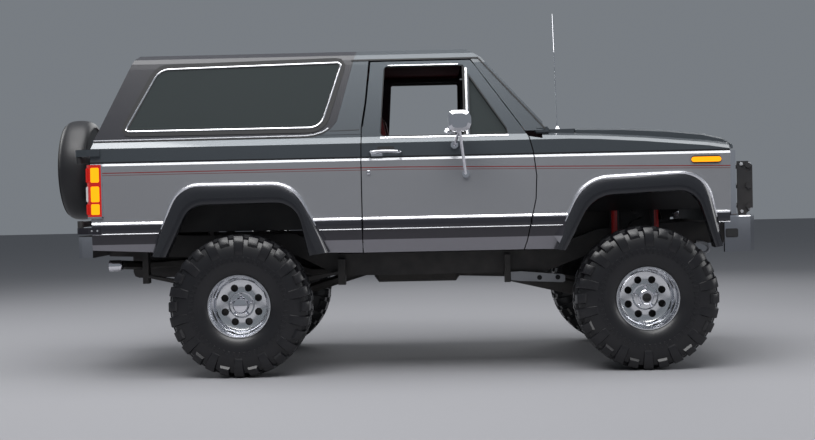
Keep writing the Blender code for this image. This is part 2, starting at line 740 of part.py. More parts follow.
named(roof(), "roof", PAINT)
named(windscreen(), "windscreen", GLASS)
named(rear_top(), "rear_top", TOP_BLACK)
for pane in pair(quarter_glass(), "quarter_glass"):
    pane.data.materials[0] = finish(*GLASS)
named(rear_glass(), "rear_glass", GLASS)
named(hood(), "hood", PAINT)
named(cowl(), "cowl", PAINT)
named(dashboard(), "dashboard", TRIM)
named(grille(), "grille", CHROME)
named(tailgate(), "tailgate", PAINT)


# Floor, frame and running gear
FLOOR_H = (0.180, 0.205)
FLOOR_Y = wall_y(0.148, 2) - SEAT_GAP
TUB = [(-0.500, 0.150), (-0.340, 0.480, 0.14), (0.410, 0.480, 0.14), (0.540, 0.150)]
TUB_WALL = 0.014
CAB_Y = 0.843
# Rail centre line, front part from the front axle, rear part from the rear axle: x, h
RAIL_FRONT = [(0.720, 0.075), (0.250, 0.070), (-0.250, 0.035), (-0.620, -0.100)]
BUMPER_BACK = TAIL - 0.006 # inner face of the rear bumper from the rear axle
RAIL_REAR = [(0.620, -0.100), (0.330, 0.045), (-0.330, 0.045), (BUMPER_BACK + SEAT_GAP, 0.065)]


def floor():
    """Floor pan with sills, firewall and the two rear wheel tubs."""
    low, high = BODY_Z + FLOOR_H[0], BODY_Z + FLOOR_H[1]
    x_tail = REAR_X + TAIL + 0.055 + SEAT_GAP
    x_pillar = FRONT_X + DOOR_BACK[0][0] + 0.020
    x_post = FRONT_X + DOOR_FRONT[5][0] + 0.015
    x_wall = FRONT_X + FIREWALL[1]
    half = [(x_tail, FLOOR_Y), (x_pillar - 0.045, FLOOR_Y), (x_pillar, CAB_Y),
            (x_post, CAB_Y), (x_post, FLOOR_Y), (x_wall, FLOOR_Y)]
    pan = plate(half + [(x, -y) for x, y in half[::-1]], low, high)
    wall_half = SHOULDER[2][0] - SEAT_GAP
    wall = box((FRONT_X + FIREWALL[0], -wall_half, low), (x_wall, wall_half, BODY_Z + FIREWALL_TOP))
    more, less = [wall], []
    for side in (-1, 1):
        outline = rounded(world(rear, [(*row, 0)[:3] for row in TUB]))
        y0, y1 = sorted((side * 0.620, side * FLOOR_Y))
        more.append(prism(outline, y0, y1))
        y0, y1 = sorted((side * (0.620 + TUB_WALL), side * 0.95))
        inside = [(x, z) for x, z in inset(outline, TUB_WALL)]
        inside[0] = (inside[0][0], low - 0.1)
        inside[-1] = (inside[-1][0], low - 0.1)
        less.append(prism(inside, y0, y1))
        sill = [(side * 0.790, BODY_Z + 0.015), (side * CAB_Y, BODY_Z + 0.015),
                (side * CAB_Y, high - 0.005), (side * 0.790, high - 0.005)]
        more.append(beam(sill, x_pillar + 0.002, x_post - 0.100))
        seal_y = wall_y(0.020, 2) - SEAT_GAP
        seal = [(side * (CAB_Y - 0.01), BODY_Z + 0.020), (side * seal_y, BODY_Z + 0.020),
                (side * seal_y, BODY_Z + 0.030), (side * (CAB_Y - 0.01), BODY_Z + 0.030)]
        more.append(beam(seal, x_pillar + 0.150, x_post - 0.260))
    return cut(join(pan, *more), *less)


def rail_top(place, rows, dx):
    """World height of the rail's top over a place along one of its two tables."""
    for (x0, h0), (x1, h1) in zip(rows, rows[1:]):
        if dx >= x1:
            break
    share = (dx - x0) / (x1 - x0)
    return place(dx, h0 + (h1 - h0) * share)[1] + RAIL_HEIGHT / 2


def rail(side):
    rings = []
    y0, y1 = side * RAIL_Y - RAIL_WIDTH / 2, side * RAIL_Y + RAIL_WIDTH / 2
    for x, z in world(front, RAIL_FRONT) + world(rear, RAIL_REAR):
        z0, z1 = z - RAIL_HEIGHT / 2, z + RAIL_HEIGHT / 2
        rings.append([(x, y0, z0), (x, y1, z0), (x, y1, z1), (x, y0, z1)])
    return sweep(rings)


# Cross-members: place, x from that axle, h of the middle, half length, half height
CROSS = [(front, 0.510, 0.060, 0.030, 0.035), (front, -0.830, -0.110, 0.050, 0.020),
         (rear, 0.720, -0.055, 0.030, 0.018), (rear, 0.180, 0.045, 0.030, 0.035),
         (rear, -0.560, 0.050, 0.025, 0.035), (rear, TAIL + 0.057, 0.065, 0.020, 0.045)]
PUCKS = [(front, RAIL_FRONT, -0.600), (rear, RAIL_REAR, 0.600), (rear, RAIL_REAR, -0.250),
         (rear, RAIL_REAR, TAIL + 0.157)]
TOWER_Z = BODY_Z + 0.310
TOWER_Y = 0.555
PAD_Z = AXLE_Z + 0.065
LEAF_Y = 0.505
LEAF_REACH = (0.620, 0.680)


def frame():
    """Ladder frame with spring towers, body mounts and spring hangers."""
    parts = [rail(-1)]
    reach = RAIL_Y - 0.01
    for place, dx, h, half_x, half_z in CROSS:
        x, z = place(dx, h)
        parts.append(box((x - half_x, -reach, z - half_z), (x + half_x, reach, z + half_z)))
    for side in (-1, 1):
        y = side * RAIL_Y
        for place, rows, dx in PUCKS:
            x, _ = place(dx, 0)
            top = rail_top(place, rows, dx)
            parts.append(tube((x, y, top - 0.05), (x, y, BODY_Z + FLOOR_H[0] - SEAT_GAP),
                              0.034, 8))
        y0, y1 = sorted((side * (RAIL_Y + 0.02), side * (RAIL_Y + 0.050)))
        x0, x1 = FRONT_X - 0.170, FRONT_X + 0.150
        parts.append(box((x0, y0, BODY_Z + 0.03), (x1, y1, TOWER_Z + 0.014)))
        y0, y1 = sorted((side * (RAIL_Y + 0.03), side * (TOWER_Y + 0.055)))
        parts.append(box((x0, y0, TOWER_Z), (x1, y1, TOWER_Z + 0.014)))
        y0, y1 = sorted((side * (RAIL_Y + 0.02), side * (LEAF_Y + 0.032)))
        x = REAR_X + LEAF_REACH[0] + SEAT_GAP
        parts.append(box((x, y0, BODY_Z - 0.235), (x + 0.050, y1, BODY_Z - 0.060)))
        x = REAR_X - LEAF_REACH[1] - SEAT_GAP
        parts.append(box((x - 0.040, y0, BODY_Z - 0.200), (x, y1, BODY_Z + 0.060)))
        x, z = front(-0.860, -0.100)
        y0, y1 = sorted((side * (RAIL_Y + 0.02), side * 0.520))
        parts.append(box((x - 0.040, y0, z - 0.140), (x, y1, z + 0.050)))
    return join(rail(1), *parts)


def ball(centre, radii, axis, sides=12):
    """A lens-shaped housing: rows of distance along an axis and radius."""
    centre, axis = Vector(centre), Vector(axis)
    turn = axis.to_track_quat("Z", "Y").to_matrix()
    rings = []
    for along, r in radii:
        rings.append([centre + turn @ Vector((r * math.cos(a), r * math.sin(a), along))
                      for a in (2 * math.pi * (k + 0.5) / sides for k in range(sides))])
    return sweep(rings)


DIFF_Y = 0.220
PINION = 0.210
DIFF = [(-0.125, 0.050), (-0.090, 0.105), (0.000, 0.135), (0.090, 0.105), (0.125, 0.050)]
YOKE_Z = 0.105


def front_axle():
    """Front axle beam with its differential, spring pads, end yokes and radius arms."""
    centre = (FRONT_X, 0, AXLE_Z)
    base = tube((FRONT_X, -0.640, AXLE_Z), (FRONT_X, 0.640, AXLE_Z), AXLE_TUBE_R, 8)
    parts = [ball((FRONT_X, DIFF_Y, AXLE_Z), DIFF, (0, 1, 0)),
             tube((FRONT_X, DIFF_Y, AXLE_Z), (FRONT_X - PINION, DIFF_Y, AXLE_Z), 0.050, 8)]
    for side in (-1, 1):
        y0, y1 = sorted((side * 0.470, side * (TOWER_Y + 0.050)))
        parts.append(box((FRONT_X - 0.170, y0, PAD_Z - 0.035), (FRONT_X + 0.150, y1, PAD_Z)))
        y0, y1 = sorted((side * 0.610, side * 0.635))
        high = YOKE_Z + 0.028
        parts.append(box((FRONT_X - 0.040, y0, AXLE_Z - high), (FRONT_X + 0.040, y1, AXLE_Z + high)))
        y0, y1 = sorted((side * 0.620, side * (KINGPIN_Y + 0.028)))
        for low, top in ((YOKE_Z, high), (-high, -YOKE_Z)):
            parts.append(box((FRONT_X - 0.035, y0, AXLE_Z + low), (FRONT_X + 0.035, y1, AXLE_Z + top)))
        x, z = front(-0.860, -0.175)
        arm = []
        for px, py, pz, half in ((x + SEAT_GAP, 0.492, z - 0.025, 0.035),
                                 (FRONT_X - 0.430, 0.440, AXLE_Z + 0.035, 0.042),
                                 (FRONT_X - 0.020, 0.420, AXLE_Z, 0.030)):
            arm.append([(px, side * (py - 0.016), pz - half), (px, side * (py + 0.016), pz - half),
                        (px, side * (py + 0.016), pz + half), (px, side * (py - 0.016), pz + half)])
        parts.append(sweep(arm))
    return join(base, *parts)


def rear_axle():
    """Rear axle beam with differential and brake drums."""
    drum = WHEEL_Y + RIM_SEAT - SEAT_GAP
    base = tube((REAR_X, -0.700, AXLE_Z), (REAR_X, 0.700, AXLE_Z), AXLE_TUBE_R + 0.004, 8)
    parts = [ball((REAR_X, 0, AXLE_Z), DIFF, (0, 1, 0)),
             tube((REAR_X, 0, AXLE_Z), (REAR_X + PINION, 0, AXLE_Z), 0.050, 8)]
    for side in (-1, 1):
        parts.append(tube((REAR_X, side * 0.745, AXLE_Z), (REAR_X, side * 0.808, AXLE_Z), 0.150, 12))
        parts.append(tube((REAR_X, side * 0.690, AXLE_Z), (REAR_X, side * drum, AXLE_Z), 0.075, 8))
    return join(base, *parts)


def knuckle():
    """Left steering knuckle: kingpin post, brake disc and forward steering arm."""
    post = tube((FRONT_X, KINGPIN_Y, AXLE_Z - YOKE_Z + SEAT_GAP),
                (FRONT_X, KINGPIN_Y, AXLE_Z + YOKE_Z - SEAT_GAP), 0.034, 10)
    seat = WHEEL_Y + RIM_SEAT - SEAT_GAP
    disc = tube((FRONT_X, 0.752, AXLE_Z), (FRONT_X, 0.776, AXLE_Z), 0.155, 12)
    hub = tube((FRONT_X, KINGPIN_Y, AXLE_Z), (FRONT_X, seat, AXLE_Z), 0.070, 8)
    arm = sweep([[(x, y - 0.016, z) for x, y, z in row] + [(x, y + 0.016, z) for x, y, z in row[::-1]]
                 for row in (((FRONT_X + 0.010, KINGPIN_Y, TIE_Z),
                              (FRONT_X + 0.010, KINGPIN_Y, TIE_Z + 0.022)),
                             ((FRONT_X + TIE_X + 0.018, TIE_Y, TIE_Z),
                              (FRONT_X + TIE_X + 0.018, TIE_Y, TIE_Z + 0.022)))])
    return join(post, disc, hub, arm)


TIE_X = 0.200
TIE_Y = 0.650
TIE_Z = AXLE_Z - 0.012       # underside of the steering arms
RIM_SEAT = -0.035          # mounting face of the rim from the tyre's middle


def tie_rod():
    z = TIE_Z - SEAT_GAP - 0.016
    rod = tube((FRONT_X + TIE_X, -TIE_Y, z), (FRONT_X + TIE_X, TIE_Y, z), 0.014, 8)
    ends = [tube((FRONT_X + TIE_X, side * TIE_Y, z - 0.018),
                 (FRONT_X + TIE_X, side * TIE_Y, z + 0.016), 0.019, 10) for side in (-1, 1)]
    return join(rod, *ends)


SHOCK_X = (-0.135, 0.115)


def spring_unit():
    """Coil spring and its two shock absorbers under one upper seat plate."""
    low, high = PAD_Z + SEAT_GAP, TOWER_Z - SEAT_GAP
    seat = box((FRONT_X - 0.168, TOWER_Y - 0.060, high - 0.014),
               (FRONT_X + 0.148, TOWER_Y + 0.052, high))
    wire, radius, turns, steps, sides = 0.008, 0.045, 5, 6, 4
    rings = []
    for i in range(turns * steps + 1):
        angle = 2 * math.pi * i / steps
        z = low + wire + (high - 0.010 - low - wire) * i / (turns * steps)
        out = Vector((math.cos(angle), math.sin(angle), 0))
        centre = Vector((FRONT_X - 0.010, TOWER_Y, z)) + out * radius
        rings.append([centre + out * wire * math.cos(a) + Vector((0, 0, wire * math.sin(a)))
                      for a in (2 * math.pi * (k + 0.25) / sides for k in range(sides))])
    parts = [sweep(rings)]
    middle = low + (high - low) * 0.45
    for dx in SHOCK_X:
        x = FRONT_X + dx
        parts.append(tube((x, TOWER_Y, low), (x, TOWER_Y, middle), 0.020, 8))
        parts.append(tube((x, TOWER_Y, middle - 0.010), (x, TOWER_Y, high - 0.005), 0.028, 8))
    return join(seat, *parts)


def leaf_spring():
    """Arched pack of leaves with its axle block and a shock absorber."""
    reach_front, reach_back = LEAF_REACH
    sag = [(-1.0, 0.0), (-0.75, -0.030), (-0.4, -0.058), (0.0, -0.066), (0.4, -0.056),
           (0.75, -0.026), (1.0, 0.0)]
    top, under = [], []
    eye = BODY_Z - 0.155
    for share, drop in sag:
        x = REAR_X + share * (reach_front if share > 0 else reach_back)
        thick = 0.018 + 0.036 * (1 - abs(share))
        top.append((x, eye + drop + 0.012))
        under.append((x, eye + drop + 0.012 - thick))
    pack = prism(top + under[::-1], LEAF_Y - 0.032, LEAF_Y + 0.032)
    block = box((REAR_X - 0.050, LEAF_Y - 0.030, AXLE_Z + AXLE_TUBE_R + 0.004 + SEAT_GAP),
                (REAR_X + 0.050, LEAF_Y + 0.030, eye - 0.080))
    return join(pack, block)


named(floor(), "floor", TRIM)
named(frame(), "frame", BLACK_STEEL)
named(front_axle(), "front_axle", BLACK_STEEL)
named(rear_axle(), "rear_axle", BLACK_STEEL)
pair(knuckle(), "knuckle")
named(tie_rod(), "tie_rod", BLACK_STEEL)
pair(spring_unit(), "spring_unit")
pair(leaf_spring(), "leaf_spring")


# Wheels
# Rim profile for a wheel at the origin whose outer side is +Y: radius, y
LIP_R = RIM_DIAMETER / 2
BEAD_R = 0.1902
BEAD_Y = 0.1152
HALF_RIM = RIM_WIDTH / 2
RIM_PROFILE = [
    (LIP_R, HALF_RIM), (BEAD_R, BEAD_Y), (BEAD_R, -BEAD_Y), (LIP_R, -HALF_RIM),
    (0.180, -BEAD_Y), (0.176, -0.050), (0.085, RIM_SEAT), (0.040, RIM_SEAT), (0.040, -0.015),
    (0.150, -0.004), (0.178, 0.012), (0.180, BEAD_Y), (0.198, HALF_RIM)]
RIM_HOLES = 8
RIM_HOLE_R = 0.0245
RIM_HOLE_CIRCLE = 0.120
TREAD_R = TYRE_DIAMETER / 2
HALF_TYRE = TYRE_WIDTH / 2
PITCHES = 12
LUG_DEPTH = 0.016
LUG_LENGTH = 0.540         # share of a pitch
# The bore clears the rim's bead seat also in the middle of its longest facets
TYRE_BORE = BEAD_R / math.cos(math.pi * LUG_LENGTH / PITCHES) + SEAT_GAP
# Half tyre profile from bead to tread: y, radius, share of the lug depth, slant in pitches
TYRE_PROFILE = [(BEAD_Y - 0.0002, TYRE_BORE, 0.0, 0.0), (0.150, 0.232, 0.0, 0.0),
                (HALF_TYRE, 0.340, 0.0, 0.0), (0.158, 0.418, 0.8, 0.05),
                (0.124, TREAD_R, 1.0, 0.12)]
# Places along one pitch and whether the lug stands there
LUG_STEPS = [(0.00, 1), (LUG_LENGTH, 1), (LUG_LENGTH + 0.080, 0), (0.920, 0)]
FIRST_LUG = 0.75 * PITCHES - LUG_LENGTH - TYRE_PROFILE[-1][3]    # a lug's corner points down


def rim():
    """Dish rim with round holes and a hub; its corners meet the middles of the bore's facets."""
    disc = turned(RIM_PROFILE, PITCHES)
    facet = (FIRST_LUG + LUG_LENGTH / 2) % 1
    disc.data.transform(Matrix.Rotation(-2 * math.pi * facet / PITCHES, 4, "Y"))
    holes = []
    for i in range(RIM_HOLES):
        angle = 2 * math.pi * (i + 0.5) / RIM_HOLES
        x, z = RIM_HOLE_CIRCLE * math.cos(angle), RIM_HOLE_CIRCLE * math.sin(angle)
        holes.append(tube((x, -0.08, z), (x, 0.05, z), RIM_HOLE_R, 5))
    disc = cut(disc, *holes)
    return join(disc, tube((0, RIM_SEAT, 0), (0, 0.050, 0), 0.050, 10))


def tyre():
    """Mud tyre: one ring whose shoulder and tread step down between slanted lugs."""
    profile = TYRE_PROFILE + [(-y, r, deep, -slant) for y, r, deep, slant in TYRE_PROFILE[::-1]]
    rings = []
    for pitch in range(PITCHES):
        for place, stands in LUG_STEPS:
            ring = []
            for y, r, deep, slant in profile:
                angle = 2 * math.pi * (FIRST_LUG + pitch + place + slant) / PITCHES
                reach = r - (0 if stands else LUG_DEPTH * deep)
                ring.append((reach * math.cos(angle), y, reach * math.sin(angle)))
            rings.append(ring)
    return sweep(rings, closed=True)


def wheels():
    """Four tyres and rims that share two meshes and their mirror images."""
    for make, part_name, look in ((rim, "rim", ALLOY), (tyre, "tyre", RUBBER)):
        left = named(make(), part_name + "_front_left", look)
        right = other_side(left, part_name + "_front_right")
        for made, side, word in ((left, 1, "left"), (right, -1, "right")):
            made.location = (FRONT_X, side * WHEEL_Y, AXLE_Z)
            back = bpy.data.objects.new(f"{part_name}_rear_{word}", made.data)
            back.location = (REAR_X, side * WHEEL_Y, AXLE_Z)
            bpy.context.scene.collection.objects.link(back)


# Bumpers, guard, spare and its carrier
BUMPER_FACE = 0.770
# Outer and inner line of the front bumper in plan, from its end to the middle
FRONT_BUMPER = [(0.510, 0.955), (0.600, 0.950), (0.690, 0.900), (0.742, 0.780), (0.762, 0.600)]
FRONT_BUMPER_IN = [(0.510, 0.920), (0.585, 0.916), (0.662, 0.872), (0.705, 0.765), (0.7203, 0.600)]
FRONT_BUMPER_H = (-0.043, 0.185)
REAR_BUMPER_H = (0.000, 0.140)


def front_bumper():
    """Wrap-round channel, its plan skinned from outer and inner curves."""
    outer = FRONT_BUMPER + [(BUMPER_FACE, 0.0)]
    inner = FRONT_BUMPER_IN + [(FRONT_BUMPER_IN[-1][0], 0.0)]
    full = [(x, y) for x, y in outer] + [(x, -y) for x, y in outer[-2::-1]]
    back = [(x, y) for x, y in inner] + [(x, -y) for x, y in inner[-2::-1]]
    outline = [(FRONT_X + x, y) for x, y in full + back[::-1]]
    return plate(outline, BODY_Z + FRONT_BUMPER_H[0], BODY_Z + FRONT_BUMPER_H[1])


def rear_bumper():
    x0 = REAR_X + BUMPER_BACK
    half = [(x0, 0.930), (x0 - 0.070, 0.930), (x0 - 0.098, 0.900), (x0 - 0.105, 0.700)]
    outline = half + [(x, -y) for x, y in half[::-1]]
    return plate(outline, BODY_Z + REAR_BUMPER_H[0], BODY_Z + REAR_BUMPER_H[1])


GUARD_BAR = 0.019
GUARD_TOP = 0.555          # h of the guard's upper edge
UPRIGHT_Y = 0.420
UPRIGHT_DEPTH = 0.105
BARS = (0.245, 0.385, 0.525)


def brush_guard():
    """Two deep upright plates that stand on the bumper, joined by three cross tubes."""
    foot = BODY_Z + FRONT_BUMPER_H[1] + SEAT_GAP
    top = BODY_Z + GUARD_TOP
    back = GUARD_X - UPRIGHT_DEPTH
    bumper = FRONT_X + BUMPER_FACE
    outline = [(bumper - 0.050, foot), (bumper - 0.005, foot), (GUARD_X, foot + 0.050),
               (GUARD_X, top - 0.030), (GUARD_X - 0.030, top), (back, top), (back, foot + 0.040)]
    plates = [prism(outline, side * UPRIGHT_Y - 0.006, side * UPRIGHT_Y + 0.006)
              for side in (-1, 1)]
    x = GUARD_X - GUARD_BAR - 0.012
    tubes = [tube((x, -UPRIGHT_Y - 0.020, BODY_Z + h), (x, UPRIGHT_Y + 0.020, BODY_Z + h),
                  GUARD_BAR, 8) for h in BARS]
    return join(plates[0], plates[1], *tubes)


SPARE_R = 0.360
SPARE_DEPTH = 0.2025
SPARE_Z = BODY_Z + 0.600
# Covered spare, from its back face: depth, radius
SPARE_PROFILE = [(0.000, 0.305), (0.010, 0.340), (0.030, SPARE_R), (0.165, SPARE_R),
                 (0.192, 0.340), (SPARE_DEPTH, 0.300)]
CARRIER_AXIS = (TAIL - 0.078, -0.945)
# Arms of the carrier: h of its middle, half height; brackets sit outside them
ARMS = [(0.642, 0.0225), (0.2225, 0.0225)]
CARRIER_HINGE = (REAR_X + CARRIER_AXIS[0], CARRIER_AXIS[1], BODY_Z + 0.600)
BRACKETS = [(0.6648, 0.710), (0.158, 0.1997)]


def spare_cover():
    centre = (SPARE_X, 0, SPARE_Z)
    return ball(centre, SPARE_PROFILE, (1, 0, 0), 20)


def spare_carrier():
    """Swing-away frame: two arms from the hinge, two posts and the spare's mount."""
    x = REAR_X + CARRIER_AXIS[0]
    parts = []
    for h, half in ARMS:
        z = BODY_Z + h
        parts.append(tube((x, CARRIER_AXIS[1], z - half), (x, CARRIER_AXIS[1], z + half), 0.020, 10))
        parts.append(box((x - 0.016, CARRIER_AXIS[1], z - half + 0.004),
                         (x + 0.016, 0.340, z + half - 0.004)))
    for y in (-0.160, 0.300):
        parts.append(box((x - 0.014, y - 0.016, BODY_Z + ARMS[1][0]),
                         (x + 0.014, y + 0.016, BODY_Z + ARMS[0][0])))
    parts.append(box((x - 0.014, -0.170, SPARE_Z - 0.030), (x + 0.014, 0.310, SPARE_Z + 0.010)))
    parts.append(tube((x - 0.010, 0, SPARE_Z), (SPARE_X + SPARE_DEPTH + SEAT_GAP, 0, SPARE_Z),
                      0.070, 12))
    return join(parts[0], *parts[1:])


def hinge_brackets():
    """Two brackets that wrap the right rear corner above and below the lamp."""
    made = []
    x_axis, y_axis = REAR_X + CARRIER_AXIS[0], CARRIER_AXIS[1]
    tail = REAR_X + TAIL
    for low, high in BRACKETS:
        outline = [(tail + 0.065, -0.930), (tail + 0.065, -0.980), (tail - 0.020, -0.980),
                   (x_axis - 0.012, -0.965), (x_axis - 0.012, -0.925), (tail - 0.006, -0.925),
                   (tail - 0.006, -0.830), (tail + 0.010, -0.830), (tail + 0.010, -0.930)]
        made.append(plate(outline, BODY_Z + low, BODY_Z + high))
        made.append(tube((x_axis, y_axis, BODY_Z + low), (x_axis, y_axis, BODY_Z + high), 0.022, 10))
    return made


# Power train and inside
ENGINE = ((-0.560, -0.270, -0.020), (0.160, 0.270, 0.520))
SEAT_FOOT = FLOOR_H[1] + SEAT_GAP


def engine():
    """Engine as one block on two mounts that reach the rails."""
    (x0, y0, h0), (x1, y1, h1) = ENGINE
    block = box((FRONT_X + x0, y0, BODY_Z + h0), (FRONT_X + x1, y1, BODY_Z + h1))
    mount_y = RAIL_Y - RAIL_WIDTH / 2 - SEAT_GAP
    return join(block, box((FRONT_X - 0.300, -mount_y, BODY_Z + 0.010),
                           (FRONT_X - 0.200, mount_y, BODY_Z + 0.070)))


def driveline():
    """Gearbox, transfer case and the two shafts to the axles."""
    x0 = FRONT_X + ENGINE[0][0] - SEAT_GAP
    cross_top = BODY_Z + CROSS[1][2] + CROSS[1][4] + SEAT_GAP
    middle = BODY_Z + 0.030
    rings = []
    for x, half_y, half_z in ((x0, 0.200, 0.140), (x0 - 0.180, 0.110, 0.100),
                              (x0 - 0.600, 0.100, 0.090), (x0 - 0.850, 0.110, 0.110)):
        rings.append([(x, y * half_y, middle + z * half_z) for y, z in
                      ((-1, -0.5), (-0.5, -1), (0.5, -1), (1, -0.5), (1, 0.5), (0.5, 1), (-0.5, 1),
                       (-1, 0.5))])
    case = sweep(rings)
    x1 = x0 - 0.740
    parts = [box((x1 - 0.120, -0.05, middle - 0.150), (x1, DIFF_Y + 0.060, middle + 0.060)),
             box((FRONT_X - 0.860, -0.060, cross_top), (FRONT_X - 0.800, 0.060, middle)),
             tube((x1 - 0.110, 0, middle - 0.060), (REAR_X + PINION + 0.030, 0, AXLE_Z), 0.036, 8),
             tube((REAR_X + PINION + SEAT_GAP, 0, AXLE_Z), (REAR_X + PINION + 0.050, 0, AXLE_Z),
                  0.044, 8),
             tube((x1 - 0.010, DIFF_Y, middle - 0.100), (FRONT_X - PINION - 0.030, DIFF_Y, AXLE_Z),
                  0.028, 8),
             tube((FRONT_X - PINION - SEAT_GAP, DIFF_Y, AXLE_Z),
                  (FRONT_X - PINION - 0.050, DIFF_Y, AXLE_Z), 0.040, 8)]
    return join(case, *parts)


def fuel_tank():
    """Fuel tank under the rear cross-member."""
    x = REAR_X - 0.560
    top = BODY_Z + 0.050 - 0.035 - SEAT_GAP
    back = REAR_X + BUMPER_BACK + 0.113
    outline = rounded([(back, top - 0.190, 0.04), (x + 0.140, top - 0.190, 0.04),
                       (x + 0.140, top, 0.02), (back, top, 0.02)], 2)
    return prism(outline, -0.230, 0.370)


EXHAUST_R = 0.030


def exhaust():
    """Pipe from the gearbox back over the axle, with muffler and side outlet."""
    y = -0.300
    route = [(FRONT_X - 0.700, y, BODY_Z - 0.190), (FRONT_X - 1.50, y, BODY_Z - 0.160),
             (REAR_X + 0.420, y, BODY_Z - 0.150), (REAR_X + 0.160, y, BODY_Z - 0.055),
             (REAR_X - 0.240, y, BODY_Z - 0.055), (REAR_X - 0.760, y, BODY_Z - 0.085),
             (REAR_X - 0.850, -0.560, BODY_Z - 0.065), (REAR_X - 0.858, -0.800, BODY_Z - 0.060)]
    pipe = bent_tube(route, EXHAUST_R, 6)
    x, z = FRONT_X - 1.500, BODY_Z - 0.160
    muffler = ball((x, y, z), [(-0.300, 0.035), (-0.270, 0.075), (0.270, 0.075), (0.300, 0.035)],
                   (1, 0, 0), 10)
    under = BODY_Z + CROSS[1][2] - CROSS[1][4] - SEAT_GAP
    hanger = box((FRONT_X - 0.845, y - 0.010, BODY_Z - 0.190), (FRONT_X - 0.815, y + 0.010, under))
    return join(pipe, muffler, hanger)


SEAT_SHAPE = [(-0.200, 0.000), (0.280, 0.000), (0.330, 0.150), (0.320, 0.270), (-0.060, 0.240),
              (-0.190, 0.780), (-0.310, 0.800), (-0.330, 0.760), (-0.210, 0.200)]


def bench(place, dx, y0, y1):
    """A seat as one closed outline of base, cushion and backrest."""
    outline = [place(dx + x, SEAT_FOOT + h) for x, h in SEAT_SHAPE]
    return prism(outline, y0, y1)


def steering_wheel():
    """Steering wheel and column from the dashboard, on the left."""
    centre = Vector((FRONT_X - 1.160, 0.400, BODY_Z + 0.760))
    foot = Vector((FRONT_X - 0.990, 0.400, BODY_Z + 0.660))
    axis = (centre - foot).normalized()
    turn = axis.to_track_quat("Z", "Y").to_matrix()
    rings = []
    for i in range(12):
        a = 2 * math.pi * i / 12
        out = turn @ Vector((math.cos(a), math.sin(a), 0))
        rings.append([centre + out * (0.185 + 0.013 * math.cos(b)) + axis * 0.013 * math.sin(b)
                      for b in (2 * math.pi * k / 4 for k in range(4))])
    hoop = sweep(rings, closed=True)
    side = turn @ Vector((1, 0, 0))
    cross = turn @ Vector((0, 1, 0))
    parts = [tube(centre - side * 0.183, centre + side * 0.183, 0.012, 6),
             tube(centre, centre + cross * 0.183, 0.012, 6),
             tube(foot, centre + axis * 0.020, 0.032, 10)]
    return join(hoop, *parts)


def radiator():
    x1 = FRONT_X + GRILLE_X[0] - SEAT_GAP
    half = 0.620 - SEAT_GAP
    foot = rail_top(front, RAIL_FRONT, GRILLE_X[0]) + SEAT_GAP
    return box((x1 - 0.050, -half, foot), (x1, half, BODY_Z + 0.560))


ANTENNA_FOOT = 0.022


def antenna():
    """Whip antenna on its round foot on the cowl panel."""
    x = FRONT_X - 0.550
    y = -0.810
    (y0, h0), (y1, h1) = COWL_TOP[:2]
    slope = (h1 - h0) / (y0 - y1)
    base = BODY_Z + h0 + slope * (y0 + y + ANTENNA_FOOT) + SEAT_GAP
    return join(tube((x, y, base), (x, y, base + 0.018), ANTENNA_FOOT, 10, end_radius=0.008),
                tube((x, y, base + 0.010), (x - 0.018, y, BODY_Z + 1.545), 0.0035, 6,
                     end_radius=0.0022))


wheels()
named(front_bumper(), "front_bumper", CHROME)
named(rear_bumper(), "rear_bumper", CHROME)
named(brush_guard(), "brush_guard", BLACK_STEEL)
named(spare_cover(), "spare_cover", TOP_BLACK)
named(spare_carrier(), "spare_carrier", BLACK_STEEL)
named(engine(), "engine", CAST)
named(driveline(), "driveline", CAST)
named(fuel_tank(), "fuel_tank", BLACK_STEEL)
named(exhaust(), "exhaust", CAST)
for seat in pair(bench(front, -1.420, 0.160, 0.700), "seat"):
    seat.data.materials[0] = finish(*TRIM)
named(bench(rear, 0.220, -0.560, 0.560), "rear_seat", TRIM)
named(radiator(), "radiator", BLACK_STEEL)
named(antenna(), "antenna", CHROME)
named(join(bpy.data.objects["dashboard"], steering_wheel()), "dashboard")
named(join(bpy.data.objects["quarter_right"], *hinge_brackets()), "quarter_right")
hang(HOOD_HINGE, "hood")
hang(CARRIER_HINGE, "spare_carrier", "spare_cover")
for side, word in ((1, "left"), (-1, "right")):
    hang((FRONT_X, side * KINGPIN_Y, AXLE_Z), "knuckle_" + word)
    hinge = (FRONT_X + DOOR_HINGE[0], side * DOOR_HINGE[1], BODY_Z + DOOR_HINGE_H)
    hang(hinge, "door_" + word, "mirror_" + word, "vent_glass_" + word)
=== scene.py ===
# %% [markdown]
# # Lifted off-road 4x4, dressed
# The CAD model gives the frame: real size, every solid piece and the joints that they move on. This
# lesson adds what the photograph shows on top of it: two-tone paint, chrome strips, tread, lamps,
# cushions and small hardware. Every piece rides on a CAD body, so it follows the real motions.
# %% Load the CAD frame
import math

import bmesh
import bpy
from mathutils import Matrix, Vector


